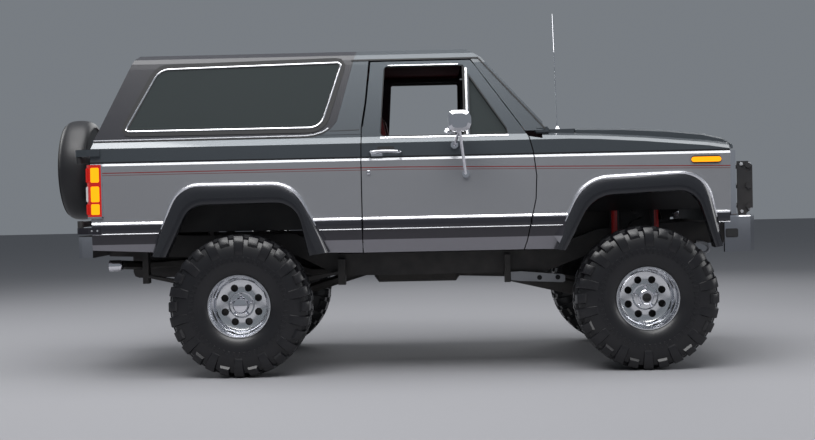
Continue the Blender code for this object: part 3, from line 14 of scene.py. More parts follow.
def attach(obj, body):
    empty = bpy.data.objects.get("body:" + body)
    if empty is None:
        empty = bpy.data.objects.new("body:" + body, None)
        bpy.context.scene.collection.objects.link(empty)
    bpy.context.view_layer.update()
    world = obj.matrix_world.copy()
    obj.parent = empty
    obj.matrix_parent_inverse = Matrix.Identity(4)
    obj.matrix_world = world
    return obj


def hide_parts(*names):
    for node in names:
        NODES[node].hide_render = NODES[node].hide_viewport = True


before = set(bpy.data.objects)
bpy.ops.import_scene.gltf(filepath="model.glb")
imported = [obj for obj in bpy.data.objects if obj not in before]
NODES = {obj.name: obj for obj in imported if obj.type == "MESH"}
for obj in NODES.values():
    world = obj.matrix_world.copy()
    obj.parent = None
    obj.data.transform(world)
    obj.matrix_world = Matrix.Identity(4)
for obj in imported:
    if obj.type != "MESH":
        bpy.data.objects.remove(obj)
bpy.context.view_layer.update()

# %% [markdown]
# ## Places that everything is measured from
# The body is a pressed steel shell whose side wall leans in above the sill. The same few heights and
# half widths place every strip, handle and lamp on the skin, on both sides of the vehicle.
# %% Axles and the line of the skin
FRONT_X, REAR_X, AXLE_Z, BODY_Z = 1.5925, -1.0675, 0.4675, 0.80
WHEEL_Y = 0.865
SIDES = ((1, "left"), (-1, "right"))
SKIN = [(0.800, 0.935), (0.890, 0.960), (0.960, 0.969), (1.400, 0.980), (1.415, 0.966),
        (1.515, 0.956), (1.555, 0.932), (2.040, 0.806), (2.090, 0.793)]


def skin_y(z):
    """Half width of the painted side wall at a height."""
    for (z0, y0), (z1, y1) in zip(SKIN, SKIN[1:]):
        if z <= z1:
            return y0 + (y1 - y0) * max(0.0, (z - z0) / (z1 - z0))
    return SKIN[-1][1]


print("skin at the chrome strip", round(skin_y(1.02), 3))

# %% [markdown]
# ## From a mesh to a piece that rides
# Each piece of the real vehicle is fixed to one of its moving bodies. One helper gives a mesh its finish, its
# name and its body, so no piece is left behind by a joint.
# %% Put a piece on its body
PIECES = []


def put(name, mesh, look, body, place=None):
    """Make an object of a mesh, with its name, its finish and the body it rides on."""
    mesh.name = name
    mesh.materials.clear()
    mesh.materials.append(look)
    made = bpy.data.objects.new(name, mesh)
    if place is not None:
        made.matrix_world = place
    bpy.context.scene.collection.objects.link(made)
    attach(made, body)
    PIECES.append(made)
    return made


print("pieces so far:", len(PIECES))

# %% [markdown]
# ## Skinning rings
# Most pressed, moulded and rolled pieces are one section carried along a path. Rings of points are
# skinned with quads, which keeps clean edge loops, and edges over a set angle stay sharp.
# %% Skin rings and close the mesh
def as_mesh(bm, sharp=35):
    """Close a bmesh into a mesh with smooth faces and sharp edges kept."""
    bmesh.ops.recalc_face_normals(bm, faces=bm.faces)
    mesh = bpy.data.meshes.new("made")
    bm.to_mesh(mesh)
    bm.free()
    mesh.shade_smooth()
    mesh.set_sharp_from_angle(angle=math.radians(sharp))
    return mesh


def skin_rings(bm, rings, closed=False):
    """Skin rings of equal length with quads, in a closed run or an open one with its ends capped."""
    loops = [[bm.verts.new(p) for p in ring] for ring in rings]
    pairs = list(zip(loops, loops[1:])) + ([(loops[-1], loops[0])] if closed else [])
    for a, b in pairs:
        for i in range(len(a)):
            j = (i + 1) % len(a)
            bm.faces.new((a[i], a[j], b[j], b[i]))
    if not closed:
        bm.faces.new(loops[0][::-1])
        bm.faces.new(loops[-1])


print("edges sharper than 35 degrees stay sharp")

# %% [markdown]
# ## The camera
# The photograph is taken square to the right side from ten metres off, from the height of the
# middle of the door, and held about one degree off level. The lens and the place come from the
# wheels' spacing.
# %% Place the camera
CAMERA_AT = Vector((0.1855, -9.89, 1.174))
LENS, SENSOR = 60.5, 36.0
YAW, PITCH, ROLL = (math.radians(a) for a in (0.922, 1.068, 1.23))
look_to = Vector((-math.sin(YAW) * math.cos(PITCH), math.cos(YAW) * math.cos(PITCH), -math.sin(PITCH)))
right = look_to.cross(Vector((0, 0, 1))).normalized()
up = right.cross(look_to)
rolled_up = up * math.cos(ROLL) + right * math.sin(ROLL)
rolled_right = right * math.cos(ROLL) - up * math.sin(ROLL)
camera_data = bpy.data.cameras.new("camera")
camera_data.lens = LENS
camera_data.sensor_width = SENSOR
camera = bpy.data.objects.new("camera", camera_data)
turn = Matrix((rolled_right, rolled_up, -look_to)).transposed()
camera.matrix_world = Matrix.Translation(CAMERA_AT) @ turn.to_4x4()
bpy.context.scene.collection.objects.link(camera)
bpy.context.scene.camera = camera
print("camera looks along", [round(c, 3) for c in look_to])

# %% [markdown]
# ## Floor and surroundings
# A plain pale floor carries the vehicle's shadow, and an even cool sky keeps the shaded side and
# the chrome from going black. Both stay plain, so that every colour seen is the vehicle's own.
# %% Floor and sky
FLOOR_REACH, FLOOR_COLOR, FLOOR_ROUGH = 40.0, (0.25, 0.25, 0.265, 1), 0.85
SKY_COLOR, SKY_POWER = (0.55, 0.60, 0.66, 1), 0.34
floor_mesh = bpy.data.meshes.new("studio_floor")
floor_mesh.from_pydata([(-FLOOR_REACH, -FLOOR_REACH, 0), (FLOOR_REACH, -FLOOR_REACH, 0),
                        (FLOOR_REACH, FLOOR_REACH, 0), (-FLOOR_REACH, FLOOR_REACH, 0)], [],
                       [(0, 1, 2, 3)])
studio_floor = bpy.data.objects.new("studio_floor", floor_mesh)
bpy.context.scene.collection.objects.link(studio_floor)
floor_look = bpy.data.materials.new("studio_floor")
floor_look.use_nodes = True
floor_shader = floor_look.node_tree.nodes["Principled BSDF"]
floor_shader.inputs["Base Color"].default_value = FLOOR_COLOR
floor_shader.inputs["Roughness"].default_value = FLOOR_ROUGH
floor_mesh.materials.append(floor_look)

world = bpy.data.worlds.new("studio")
world.use_nodes = True
sky = world.node_tree.nodes["Background"]
sky.inputs["Color"].default_value = SKY_COLOR
sky.inputs["Strength"].default_value = SKY_POWER
bpy.context.scene.world = world
print("floor of", 2 * FLOOR_REACH, "m")

# %% [markdown]
# ## Soft light
# One broad lamp overhead gives the body's shoulders their light edge. A second, high up on the
# camera's side, lights the side wall and draws the chrome. Three weaker ones fill nose, tail and far
# side. The standard view keeps colours as they are set, where the usual film look pales the ambers.
# %% Soft lamps
# place, what it points at, width, depth, power
LAMPS = [((0.0, -1.0, 7.0), (0.0, 0.0, 1.0), 9.0, 6.0, 640.0),
         ((-1.0, -6.0, 8.0), (0.0, 0.0, 1.2), 8.0, 3.0, 520.0),
         ((7.5, -3.0, 3.0), (1.5, 0.0, 1.0), 3.0, 3.0, 110.0),
         ((-7.5, 3.0, 4.0), (-1.5, 0.0, 1.0), 4.0, 3.0, 150.0),
         ((1.5, 8.0, 5.0), (0.0, 0.0, 1.2), 8.0, 3.0, 200.0)]
for number, (place, aim, wide, deep, power) in enumerate(LAMPS):
    data = bpy.data.lights.new(f"soft_light_{number}", "AREA")
    data.shape = "RECTANGLE"
    data.size, data.size_y, data.energy = wide, deep, power
    lamp = bpy.data.objects.new(data.name, data)
    lamp.location = place
    lamp.rotation_euler = (Vector(aim) - Vector(place)).to_track_quat("-Z", "Y").to_euler()
    bpy.context.scene.collection.objects.link(lamp)
bpy.context.scene.view_settings.view_transform = "Standard"
print(len(LAMPS), "soft lamps")

# %% [markdown]
# ## Shader groups and maths
# Several finishes share the same effects, so each effect is a shader node group that is built once
# and used with its own values. Groups give out only masks and normals; the shader itself stays in
# each material.
# %% Helpers for groups
def group(name, inputs, outputs):
    """An empty shader node group with its sockets."""
    made = bpy.data.node_groups.new(name, "ShaderNodeTree")
    for label, kind, value in inputs:
        socket = made.interface.new_socket(label, in_out="INPUT", socket_type="NodeSocket" + kind)
        if value is not None:
            socket.default_value = value
    for label, kind in outputs:
        made.interface.new_socket(label, in_out="OUTPUT", socket_type="NodeSocket" + kind)
    return made, made.nodes.new("NodeGroupInput"), made.nodes.new("NodeGroupOutput")


def math_node(tree, kind, a, b=None, clamp=False):
    """A maths node fed by sockets or numbers."""
    node = tree.nodes.new("ShaderNodeMath")
    node.operation = kind
    node.use_clamp = clamp
    for socket, value in zip(node.inputs, (a, b)):
        if value is None:
            continue
        if isinstance(value, (int, float)):
            socket.default_value = value
        else:
            tree.links.new(value, socket)
    return node.outputs[0]


def place_of(tree):
    """Sockets x, y and z of the point on the piece, in the vehicle's own frame."""
    coords = tree.nodes.new("ShaderNodeTexCoord")
    split = tree.nodes.new("ShaderNodeSeparateXYZ")
    tree.links.new(coords.outputs["Object"], split.inputs[0])
    return coords.outputs["Object"], split.outputs


print("groups before:", len(bpy.data.node_groups))

# %% [markdown]
# ## A band of heights
# The body's paint scheme is sprayed through masking tape, in bands that run level or fall slightly
# towards the nose. The group marks one such band by height, so it runs on from panel to panel.
# %% Band group
BAND, band_in, band_out = group("height_band", [("Low", "Float", 0.0), ("High", "Float", 1.0),
                                                ("Fall", "Float", 0.0)], [("Mask", "Float")])
_, place = place_of(BAND)
ahead = math_node(BAND, "MAXIMUM", place[0], 0.0)
height = math_node(BAND, "ADD", place[2], math_node(BAND, "MULTIPLY", ahead, band_in.outputs["Fall"]))
above = math_node(BAND, "GREATER_THAN", height, band_in.outputs["Low"])
below = math_node(BAND, "LESS_THAN", height, band_in.outputs["High"])
BAND.links.new(math_node(BAND, "MULTIPLY", above, below), band_out.inputs["Mask"])
print("group", BAND.name)

# %% [markdown]
# ## The undersealed inner side
# Inside the wheel arches the panels are black with underseal, not painted. The same solid has both
# sides, so the group marks everything inwards of the skin, below the belt and between nose and tail.
# %% Inner side group
INNER_Y, INNER_TOP, INNER_NOSE_X, INNER_TAIL_X = 0.905, 1.40, 2.08, -1.93
INNER, _, inner_out = group("inner_side", [], [("Mask", "Float")])
_, place = place_of(INNER)
inside = math_node(INNER, "LESS_THAN", math_node(INNER, "ABSOLUTE", place[1]), INNER_Y)
behind = math_node(INNER, "LESS_THAN", place[0], INNER_NOSE_X)
before = math_node(INNER, "GREATER_THAN", place[0], INNER_TAIL_X)
under = math_node(INNER, "LESS_THAN", place[2], INNER_TOP)
INNER.links.new(math_node(INNER, "MULTIPLY", math_node(INNER, "MULTIPLY", inside, under),
                          math_node(INNER, "MULTIPLY", behind, before)), inner_out.inputs["Mask"])
print("group", INNER.name)

# %% [markdown]
# ## Road dust
# A thin film of dust settles low down and thins out upwards. Cloudy noise breaks it up, because a
# plain fade would look like a second coat of paint.
# %% Dust group
CLOUD_SCALE, CLOUD_DETAIL = 9.0, 6.0
DUST, dust_in, dust_out = group("road_dust", [("Amount", "Float", 0.3), ("Up to", "Float", 1.0)],
                                [("Mask", "Float")])
where, place = place_of(DUST)
cloud = DUST.nodes.new("ShaderNodeTexNoise")
cloud.inputs["Scale"].default_value = CLOUD_SCALE
cloud.inputs["Detail"].default_value = CLOUD_DETAIL
DUST.links.new(where, cloud.inputs["Vector"])
low_down = math_node(DUST, "SUBTRACT", 1.0, math_node(DUST, "DIVIDE", place[2], dust_in.outputs["Up to"]),
                     clamp=True)
spread = math_node(DUST, "MULTIPLY", cloud.outputs["Fac"], low_down)
DUST.links.new(math_node(DUST, "MULTIPLY", spread, dust_in.outputs["Amount"], clamp=True),
               dust_out.inputs["Mask"])
print("group", DUST.name)

# %% [markdown]
# ## Fine grain
# Satin plastic, castings, vinyl and cloth aren't smooth. A fine noise turns the light a little through
# a bump of a fraction of a millimetre, which needs no extra faces.
# %% Grain group
GRAIN_DEPTH, SPECKLE_DETAIL = 0.0006, 3.0
GRAIN, grain_in, grain_out = group("grain", [("Scale", "Float", 400.0), ("Strength", "Float", 0.2)],
                                   [("Normal", "Vector")])
where, _ = place_of(GRAIN)
speckle = GRAIN.nodes.new("ShaderNodeTexNoise")
speckle.inputs["Detail"].default_value = SPECKLE_DETAIL
GRAIN.links.new(where, speckle.inputs["Vector"])
GRAIN.links.new(grain_in.outputs["Scale"], speckle.inputs["Scale"])
bump = GRAIN.nodes.new("ShaderNodeBump")
bump.inputs["Distance"].default_value = GRAIN_DEPTH
GRAIN.links.new(grain_in.outputs["Strength"], bump.inputs["Strength"])
GRAIN.links.new(speckle.outputs["Fac"], bump.inputs["Height"])
GRAIN.links.new(bump.outputs["Normal"], grain_out.inputs["Normal"])
print("group", GRAIN.name)

# %% [markdown]
# ## What a finish is
# Each finish is one Principled shader with the values of the real surface. Bands, underseal, dust
# and grain are mixed in from the shared groups, and only where that surface has them.
# %% Helpers for finishes
DUST_COLOR = (0.20, 0.18, 0.16)


def used(tree, kind, **values):
    """A copy of a shared group in a finish, with its inputs set."""
    node = tree.nodes.new("ShaderNodeGroup")
    node.node_tree = kind
    for label, value in values.items():
        node.inputs[label.replace("_", " ")].default_value = value
    return node.outputs


def mixed(tree, mask, a, b):
    """Colour b over colour a where the mask is one."""
    node = tree.nodes.new("ShaderNodeMix")
    node.data_type = "RGBA"
    for socket, value in ((node.inputs[6], a), (node.inputs[7], b)):
        if isinstance(value, tuple):
            socket.default_value = (*value, 1.0)
        else:
            tree.links.new(value, socket)
    tree.links.new(mask, node.inputs[0])
    return node.outputs[2]


print("dust is", DUST_COLOR)

# %% [markdown]
# ## The maker of finishes
# A finish sets the shader's own sockets for what is the same all over, and links only what changes
# over the surface. Underseal takes the gloss and metal off the inner side. Very rough cloth also gets
# a low specular level, or it would look dusty at a grazing angle.
# %% Finish maker
COAT_ROUGH, UNDERSEAL_COLOR = 0.04, (0.010, 0.010, 0.011)
DULL_FROM, DULL_SPECULAR = 0.8, 0.1


def finish(name, color, metal=0.0, rough=0.5, coat=0.0, dust=0.0, dust_top=1.2, grain=None, glow=None,
           clear=0.0, bands=(), underseal=False):
    """A finish of one Principled shader with optional bands, dust, grain, light and clearness."""
    made = bpy.data.materials.new(name)
    made.use_nodes = True
    tree = made.node_tree
    main = tree.nodes["Principled BSDF"]
    main.inputs["Metallic"].default_value = metal
    main.inputs["Roughness"].default_value = rough
    main.inputs["Coat Weight"].default_value = coat
    main.inputs["Coat Roughness"].default_value = COAT_ROUGH
    main.inputs["Transmission Weight"].default_value = clear
    if rough > DULL_FROM:
        main.inputs["Specular IOR Level"].default_value = DULL_SPECULAR
    main.inputs["Base Color"].default_value = (*color, 1.0)
    layer = color
    for low, high, fall, shade in bands:
        layer = mixed(tree, used(tree, BAND, Low=low, High=high, Fall=fall)["Mask"], layer, shade)
    if underseal:
        layer = mixed(tree, used(tree, INNER)["Mask"], layer, UNDERSEAL_COLOR)
        shine = math_node(tree, "SUBTRACT", coat, used(tree, INNER)["Mask"], clamp=True)
        tree.links.new(shine, main.inputs["Coat Weight"])
        tree.links.new(math_node(tree, "MULTIPLY", shine, metal), main.inputs["Metallic"])
    if dust:
        layer = mixed(tree, used(tree, DUST, Amount=dust, Up_to=dust_top)["Mask"], layer, DUST_COLOR)
    if layer is not color:
        tree.links.new(layer, main.inputs["Base Color"])
    if grain:
        scale, strength = grain
        tree.links.new(used(tree, GRAIN, Scale=scale, Strength=strength)["Normal"], main.inputs["Normal"])
    if glow:
        shade, power = glow
        main.inputs["Emission Color"].default_value = (*shade, 1.0)
        main.inputs["Emission Strength"].default_value = power
    return made


print("a finish duller than", DULL_FROM, "gets specular", DULL_SPECULAR)

# %% [markdown]
# ## Two-tone paint
# The vehicle is dark grey above the shoulder ledge, silver grey on the side with two thin red pinstripes,
# nearly black below the bright strip and mid grey on the rocker. A thin near-black band just above the ledge
# is painted shade of the undercut crease. Each colour is a band of one metallic paint under clear coat, so
# all panels keep one finish. Roof, cowl and hood have a duller coat.
# %% Paint
UPPER, MIDDLE = (0.060, 0.070, 0.080), (0.34, 0.345, 0.365)
LOWER, ROCKER = (0.020, 0.018, 0.026), (0.22, 0.215, 0.24)
# The near-black thin band just above the shoulder ledge is painted shade of the undercut crease, not paint.
CREASE_SHADE, STRIPE, THIN_STRIPE = (0.010, 0.010, 0.012), (0.33, 0.035, 0.03), (0.26, 0.10, 0.10)
STRIPE_Z, STRIPE_FALL, SHOULDER_Z = 1.357, 0.017, 1.416
CREASE_SHADE_WIDE, STRIPE_WIDE, THIN_WIDE, THIN_DROP = 0.011, 0.006, 0.004, 0.016
LOWER_TOP, ROCKER_TOP = 1.018, 0.885
THIN_Z = STRIPE_Z - THIN_DROP
# from this height, to this height, fall towards the nose, colour
BANDS = [(0.0, SHOULDER_Z, 0.0, MIDDLE), (SHOULDER_Z, SHOULDER_Z + CREASE_SHADE_WIDE, 0.0, CREASE_SHADE),
         (STRIPE_Z - STRIPE_WIDE, STRIPE_Z, STRIPE_FALL, STRIPE),
         (THIN_Z - THIN_WIDE, THIN_Z, STRIPE_FALL, THIN_STRIPE),
         (0.0, LOWER_TOP, 0.0, LOWER), (0.0, ROCKER_TOP, 0.0, ROCKER)]
PAINT = finish("body_paint", UPPER, 0.55, 0.34, 1.0, dust=0.25, dust_top=1.1, bands=BANDS, underseal=True)
TAIL_PAINT = finish("tail_paint", UPPER, 0.55, 0.34, 1.0, dust=0.25, dust_top=1.1, bands=BANDS)
PLAIN_PAINT = finish("top_paint", UPPER, 0.45, 0.38, 0.5)
FLARE = finish("flare_grey", (0.020, 0.021, 0.026), 0.4, 0.26, 0.9, dust=0.15, dust_top=1.2)
print(len(BANDS), "bands of paint")

# %% [markdown]
# ## Chrome, alloy and steel
# Chromed steel mirrors sharply, drawn trim has fine lines that soften the mirror, and the polished
# alloy lies between them. The frame is black with dust on it, and castings are rough and oily.
# %% Metals
CHROME = finish("chrome", (0.86, 0.86, 0.90), 1.0, 0.10)
BRIGHT = finish("bright_trim", (0.88, 0.88, 0.92), 1.0, 0.26)
ALLOY = finish("polished_alloy", (0.78, 0.79, 0.81), 1.0, 0.17)
STEEL = finish("chassis_black", (0.020, 0.020, 0.022), 0.2, 0.55, dust=0.8, dust_top=1.3,
               grain=(120.0, 0.4))
GREY_STEEL = finish("grey_plate", (0.42, 0.43, 0.45), 0.35, 0.45, dust=0.25, dust_top=1.2)
CAST = finish("oily_iron", (0.035, 0.034, 0.033), 0.5, 0.5, dust=0.6, dust_top=1.4, grain=(70.0, 0.6))
SHOCK_RED = finish("shock_red", (0.50, 0.02, 0.02), 0.0, 0.35, 0.3)
print("metals:", CHROME.name, BRIGHT.name, ALLOY.name, STEEL.name, CAST.name)

# %% [markdown]
# ## Rubber, plastic and cloth
# Tyre rubber is dressed and nearly black. The topper is grained plastic, the spare's cover is vinyl,
# and the cabin is maroon: woven cloth, moulded plastic and carpet, each with its own grain.
# %% Soft and moulded finishes
TOP_BLACK = finish("topper_black", (0.020, 0.020, 0.026), 0.0, 0.30, 0.4, grain=(700.0, 0.25))
VINYL = finish("cover_vinyl", (0.014, 0.014, 0.016), 0.0, 0.42, grain=(260.0, 0.5))
RUBBER = finish("tyre_rubber", (0.0045, 0.0045, 0.0065), 0.0, 0.36, 0.08, dust=0.02, dust_top=1.0,
                grain=(60.0, 0.15))
SEAL = finish("soft_seal", (0.012, 0.012, 0.013), 0.0, 0.6)
# This near-black finish serves black bezels, knobs, lamp buckets and the grille's back. It is also painted
# shade in the door handle's recess and in the radius-arm plates' holes.
DARK_TRIM_AND_SHADE = finish("dark_trim_and_shade", (0.012, 0.012, 0.013), 0.0, 0.7)
CLOTH = finish("maroon_cloth", (0.085, 0.016, 0.018), 0.0, 0.85, grain=(500.0, 0.8))
MOULDED = finish("maroon_plastic", (0.060, 0.014, 0.015), 0.0, 0.5, grain=(300.0, 0.4))
CARPET = finish("maroon_carpet", (0.045, 0.012, 0.013), 0.0, 0.95, grain=(220.0, 1.0))
print("moulded:", TOP_BLACK.name, VINYL.name, RUBBER.name, CLOTH.name)

# %% [markdown]
# ## Glass and lenses
# Windscreen glass lets light through, and the rear side glass is so dark that it is made as a black mirror.
# The doors' vent panes take the same dark glass as painted shade of the dark cabin behind them. The tail
# lamps and side markers are lit in the photograph, so their lenses give out light.
# %% Glass and lenses
GLASS = finish("window_glass", (0.60, 0.68, 0.66), 0.0, 0.02, clear=0.92)
TINT_AND_SHADE_GLASS = finish("tinted_and_shaded_glass", (0.030, 0.036, 0.036), 0.0, 0.03, coat=1.0)
LIT = finish("lit_segment", (0.30, 0.08, 0.0), 0.0, 0.2, 0.3, glow=((1.0, 0.33, 0.0), 1.5))
HOUSING = finish("lamp_housing", (0.35, 0.006, 0.004), 0.0, 0.12, 0.8, glow=((1.0, 0.02, 0.004), 0.22))
AMBER_LENS = finish("marker_amber", (0.9, 0.30, 0.02), 0.0, 0.15, 0.5, glow=((1.0, 0.30, 0.02), 0.25))
CLEAR_LENS = finish("reverse_lens", (0.70, 0.70, 0.70), 0.0, 0.12, 0.8)
BEAM = finish("sealed_beam", (0.75, 0.77, 0.78), 0.25, 0.08, 1.0)
print(len(bpy.data.materials), "finishes")

# %% [markdown]
# ## Dressing the CAD nodes
# Nodes whose shape is right keep it and only take a finish. The table lists them by finish; the
# body panels share one paint, so its bands run on from panel to panel at the same height.
# %% Dress the nodes
def both(*stems):
    """Names of the left and right node of each stem."""
    return [f"{stem}_{word}" for stem in stems for _, word in SIDES]


DRESS = [(PAINT, both("door", "fender", "quarter")), (TAIL_PAINT, ["tailgate"]),
         (PLAIN_PAINT, ["roof", "cowl", "hood"]),
         (TOP_BLACK, ["rear_top"]),
         (VINYL, ["spare_cover"]),
         (STEEL, ["frame", "front_axle", "rear_axle", "tie_rod", "brush_guard", "spare_carrier",
                  "fuel_tank", "radiator", "floor"] + both("knuckle", "spring_unit", "leaf_spring")),
         (CHROME, ["front_bumper", "rear_bumper", "grille", "antenna"] + both("mirror")),
         (GLASS, ["windscreen", "rear_glass"]),
         # The vent panes take the dark glass as painted shade of the dark cabin behind them; the quarter
         # panes are really tinted.
         (TINT_AND_SHADE_GLASS, both("quarter_glass", "vent_glass")),
         (HOUSING, both("tail_lamp")),
         (MOULDED, ["dashboard"]),
         (CAST, ["engine", "driveline", "exhaust"])]
for look, names in DRESS:
    for name in names:
        for part_slot in NODES[name].material_slots:
            part_slot.link = "OBJECT"
            part_slot.material = look
print(sum(len(names) for _, names in DRESS), "nodes dressed")

# %% [markdown]
# ## The tyre's carcass
# A mud tyre is moulded round a belt carcass. Its half outline runs from the bead over the side wall
# to the tread, is mirrored to the other side, and is carried round the axle as a closed ring.
# %% Carcass outline
TYRE_R, PITCHES, TYRE_STEPS = 0.4675, 28, 112
CARCASS = [(0.120, 0.198), (0.131, 0.206), (0.146, 0.228), (0.158, 0.262), (0.164, 0.305),
           (0.162, 0.345), (0.154, 0.385), (0.143, 0.415), (0.128, 0.437), (0.100, 0.447),
           (0.050, 0.451)]
BEAD_SEAT = [(-0.120, 0.215), (0.120, 0.215)]


def on_tyre(y, r, pitch, side=1):
    """A point of the tyre at a half width, a radius and a place in pitches round it."""
    angle = 2 * math.pi * pitch / PITCHES
    return (r * math.cos(angle), side * y, r * math.sin(angle))


tyre_bm = bmesh.new()
outline = CARCASS + [(-y, r) for y, r in CARCASS[::-1]] + BEAD_SEAT
rings = [[on_tyre(y, r, PITCHES * k / TYRE_STEPS) for y, r in outline] for k in range(TYRE_STEPS)]
skin_rings(tyre_bm, rings, closed=True)
print("carcass:", len(tyre_bm.faces), "faces")

# %% [markdown]
# ## Tread blocks
# Big blocks wrap from the tread over the shoulder on to the side wall, long and short in turn, with
# two rows of blocks between and a fine ring of ribs near the rim. Each is lofted from its foot on
# the carcass to a narrower top, along the carcass's own outline, so that it bends with it.
# %% Tread blocks
# outer line of a block: half width, radius, share of a pitch it leads by
SHOULDER = [(0.060, 0.4670, 0.00), (0.100, 0.4665, 0.02), (0.136, 0.4600, 0.05),
            (0.153, 0.4420, 0.08), (0.1615, 0.4150, 0.10), (0.1648, 0.3800, 0.11),
            (0.1649, 0.3450, 0.11)]
SHOULDER_FOOT = [(0.060, 0.4500), (0.098, 0.4470), (0.124, 0.4410), (0.140, 0.4220), (0.150, 0.4000),
                 (0.158, 0.3700), (0.1615, 0.3380)]
LONG_ROWS, SHORT_ROWS = 7, 5
MIDDLE_BLOCK = [(0.006, TYRE_R, 0.30), (0.028, TYRE_R, 0.24), (0.050, 0.4670, 0.12)]
MIDDLE_FOOT = [(0.004, 0.450), (0.028, 0.450), (0.054, 0.450)]
RIB = [(0.1655, 0.298, 0.0), (0.1658, 0.312, 0.0), (0.1648, 0.326, 0.0)]
RIB_FOOT = [(0.160, 0.296), (0.1615, 0.312), (0.160, 0.328)]
EDGE_DROP, EDGE_IN = 0.003, 0.05


def lug(bm, outer, foot, middle, half, taper, side):
    """A tread block: rings of foot and top across its width, lofted along its line."""
    rings = []
    for (y, r, lead), (fy, fr) in zip(outer, foot):
        place = middle + lead
        top = half * taper
        rings.append([on_tyre(fy, fr, place - half, side),
                      on_tyre(y, r - EDGE_DROP, place - top, side),
                      on_tyre(y, r, place - top + EDGE_IN, side),
                      on_tyre(y, r, place + top - EDGE_IN, side),
                      on_tyre(y, r - EDGE_DROP, place + top, side),
                      on_tyre(fy, fr, place + half, side)])
    skin_rings(bm, rings)


for side in (1, -1):
    for pitch in range(PITCHES):
        place = pitch + (0.0 if side > 0 else 0.5)
        rows = LONG_ROWS if pitch % 2 else SHORT_ROWS
        lug(tyre_bm, SHOULDER[:rows], SHOULDER_FOOT[:rows], place, 0.36, 0.86, side)
        lug(tyre_bm, MIDDLE_BLOCK, MIDDLE_FOOT, place + 0.42, 0.25, 0.80, side)
    for k in range(2 * PITCHES):
        lug(tyre_bm, RIB, RIB_FOOT, k / 2, 0.12, 0.8, side)
tyre_mesh = as_mesh(tyre_bm, 30)
print("tyre:", len(tyre_mesh.polygons), "faces")

# %% [markdown]
# ## Two makers for the wheel
# Caps, nuts and hubs are turned on a lathe: a profile of distance along the axis and radius goes
# round an axis. Bars and plates are boxes, whose edges get one bevel because no real edge is sharp.
# %% Turned forms and blocks
POINT_R = 0.0002


def turned(bm, profile, centre, axis, sides=32, closed=False):
    """A turned form: rows of distance along the axis and radius."""
    axis = Vector(axis).normalized()
    side = axis.orthogonal().normalized()
    other = axis.cross(side)
    centre = Vector(centre)
    rings = [[centre + axis * along + (side * math.cos(a) + other * math.sin(a)) * max(r, POINT_R)
              for a in (2 * math.pi * k / sides for k in range(sides))] for along, r in profile]
    skin_rings(bm, rings, closed=closed)


def block(bm, low, high, bevel=0.0):
    """A box, with its edges rounded by one bevel where asked."""
    low, high = [list(x) for x in zip(*(sorted(pair) for pair in zip(low, high)))]
    rings = [[(x, low[1], low[2]), (x, high[1], low[2]), (x, high[1], high[2]), (x, low[1], high[2])]
             for x in (low[0], high[0])]
    before = set(bm.edges)
    skin_rings(bm, rings)
    if bevel:
        fresh = [e for e in bm.edges if e not in before]
        bmesh.ops.bevel(bm, geom=fresh, offset=bevel, segments=2, affect="EDGES")


print("a profile that ends on its axis keeps", POINT_R, "m of radius")

# %% [markdown]
# ## Polished dish wheels
# The rim is a polished dish: a deep lip, a flat bead seat, a barrel and a disc. It is one closed
# profile of half width and radius, turned round the axle in fine steps, because its highlights run
# all the way round and would show every facet.
# %% Turn the dish
RIM = [(0.135, 0.206), (0.135, 0.199), (0.128, 0.196), (0.116, 0.190), (0.100, 0.183),
       (0.040, 0.178), (0.020, 0.174), (0.008, 0.166), (0.002, 0.154), (-0.002, 0.140),
       (-0.004, 0.100), (0.000, 0.086), (0.010, 0.076), (0.014, 0.060), (0.014, 0.0245),
       (-0.030, 0.0245), (-0.034, 0.085), (-0.045, 0.150), (-0.060, 0.172), (-0.128, 0.190),
       (-0.134, 0.206), (-0.120, 0.206), (-0.112, 0.194), (-0.050, 0.183), (0.030, 0.186),
       (0.108, 0.194), (0.120, 0.206)]
RIM_STEPS, RIM_SHARP = 96, 28
bm = bmesh.new()
rings = [[(r * math.cos(a), y, r * math.sin(a)) for y, r in RIM]
         for a in (2 * math.pi * k / RIM_STEPS for k in range(RIM_STEPS))]
skin_rings(bm, rings, closed=True)
blank_mesh = as_mesh(bm, RIM_SHARP)
print("blank dish:", len(blank_mesh.polygons), "faces")

# %% [markdown]
# ## Eight round holes
# The holes are drilled through the disc after it is turned. A boolean cut with eight cylinders does
# the same, and the result is kept as a plain mesh, so the four wheels share it.
# %% Drill the dish
HOLES, HOLE_R, HOLE_CIRCLE, DRILL_REACH = 8, 0.0245, 0.120, (-0.08, 0.05)
bm = bmesh.new()
for k in range(HOLES):
    a = 2 * math.pi * (k + 0.5) / HOLES
    turned(bm, [(end, HOLE_R) for end in DRILL_REACH],
           (HOLE_CIRCLE * math.cos(a), 0, HOLE_CIRCLE * math.sin(a)), (0, 1, 0), 24)
drill = bpy.data.objects.new("drill", as_mesh(bm))
blank = bpy.data.objects.new("blank", blank_mesh)
for made in (drill, blank):
    bpy.context.scene.collection.objects.link(made)
bore = blank.modifiers.new("bore", "BOOLEAN")
bore.operation, bore.solver, bore.object = "DIFFERENCE", "EXACT", drill
bpy.context.view_layer.update()
rim_mesh = bpy.data.meshes.new_from_object(blank.evaluated_get(bpy.context.evaluated_depsgraph_get()))
rim_mesh.shade_smooth()
rim_mesh.set_sharp_from_angle(angle=math.radians(RIM_SHARP))
for made in (drill, blank):
    bpy.data.objects.remove(made)
print("rim:", len(rim_mesh.polygons), "faces")

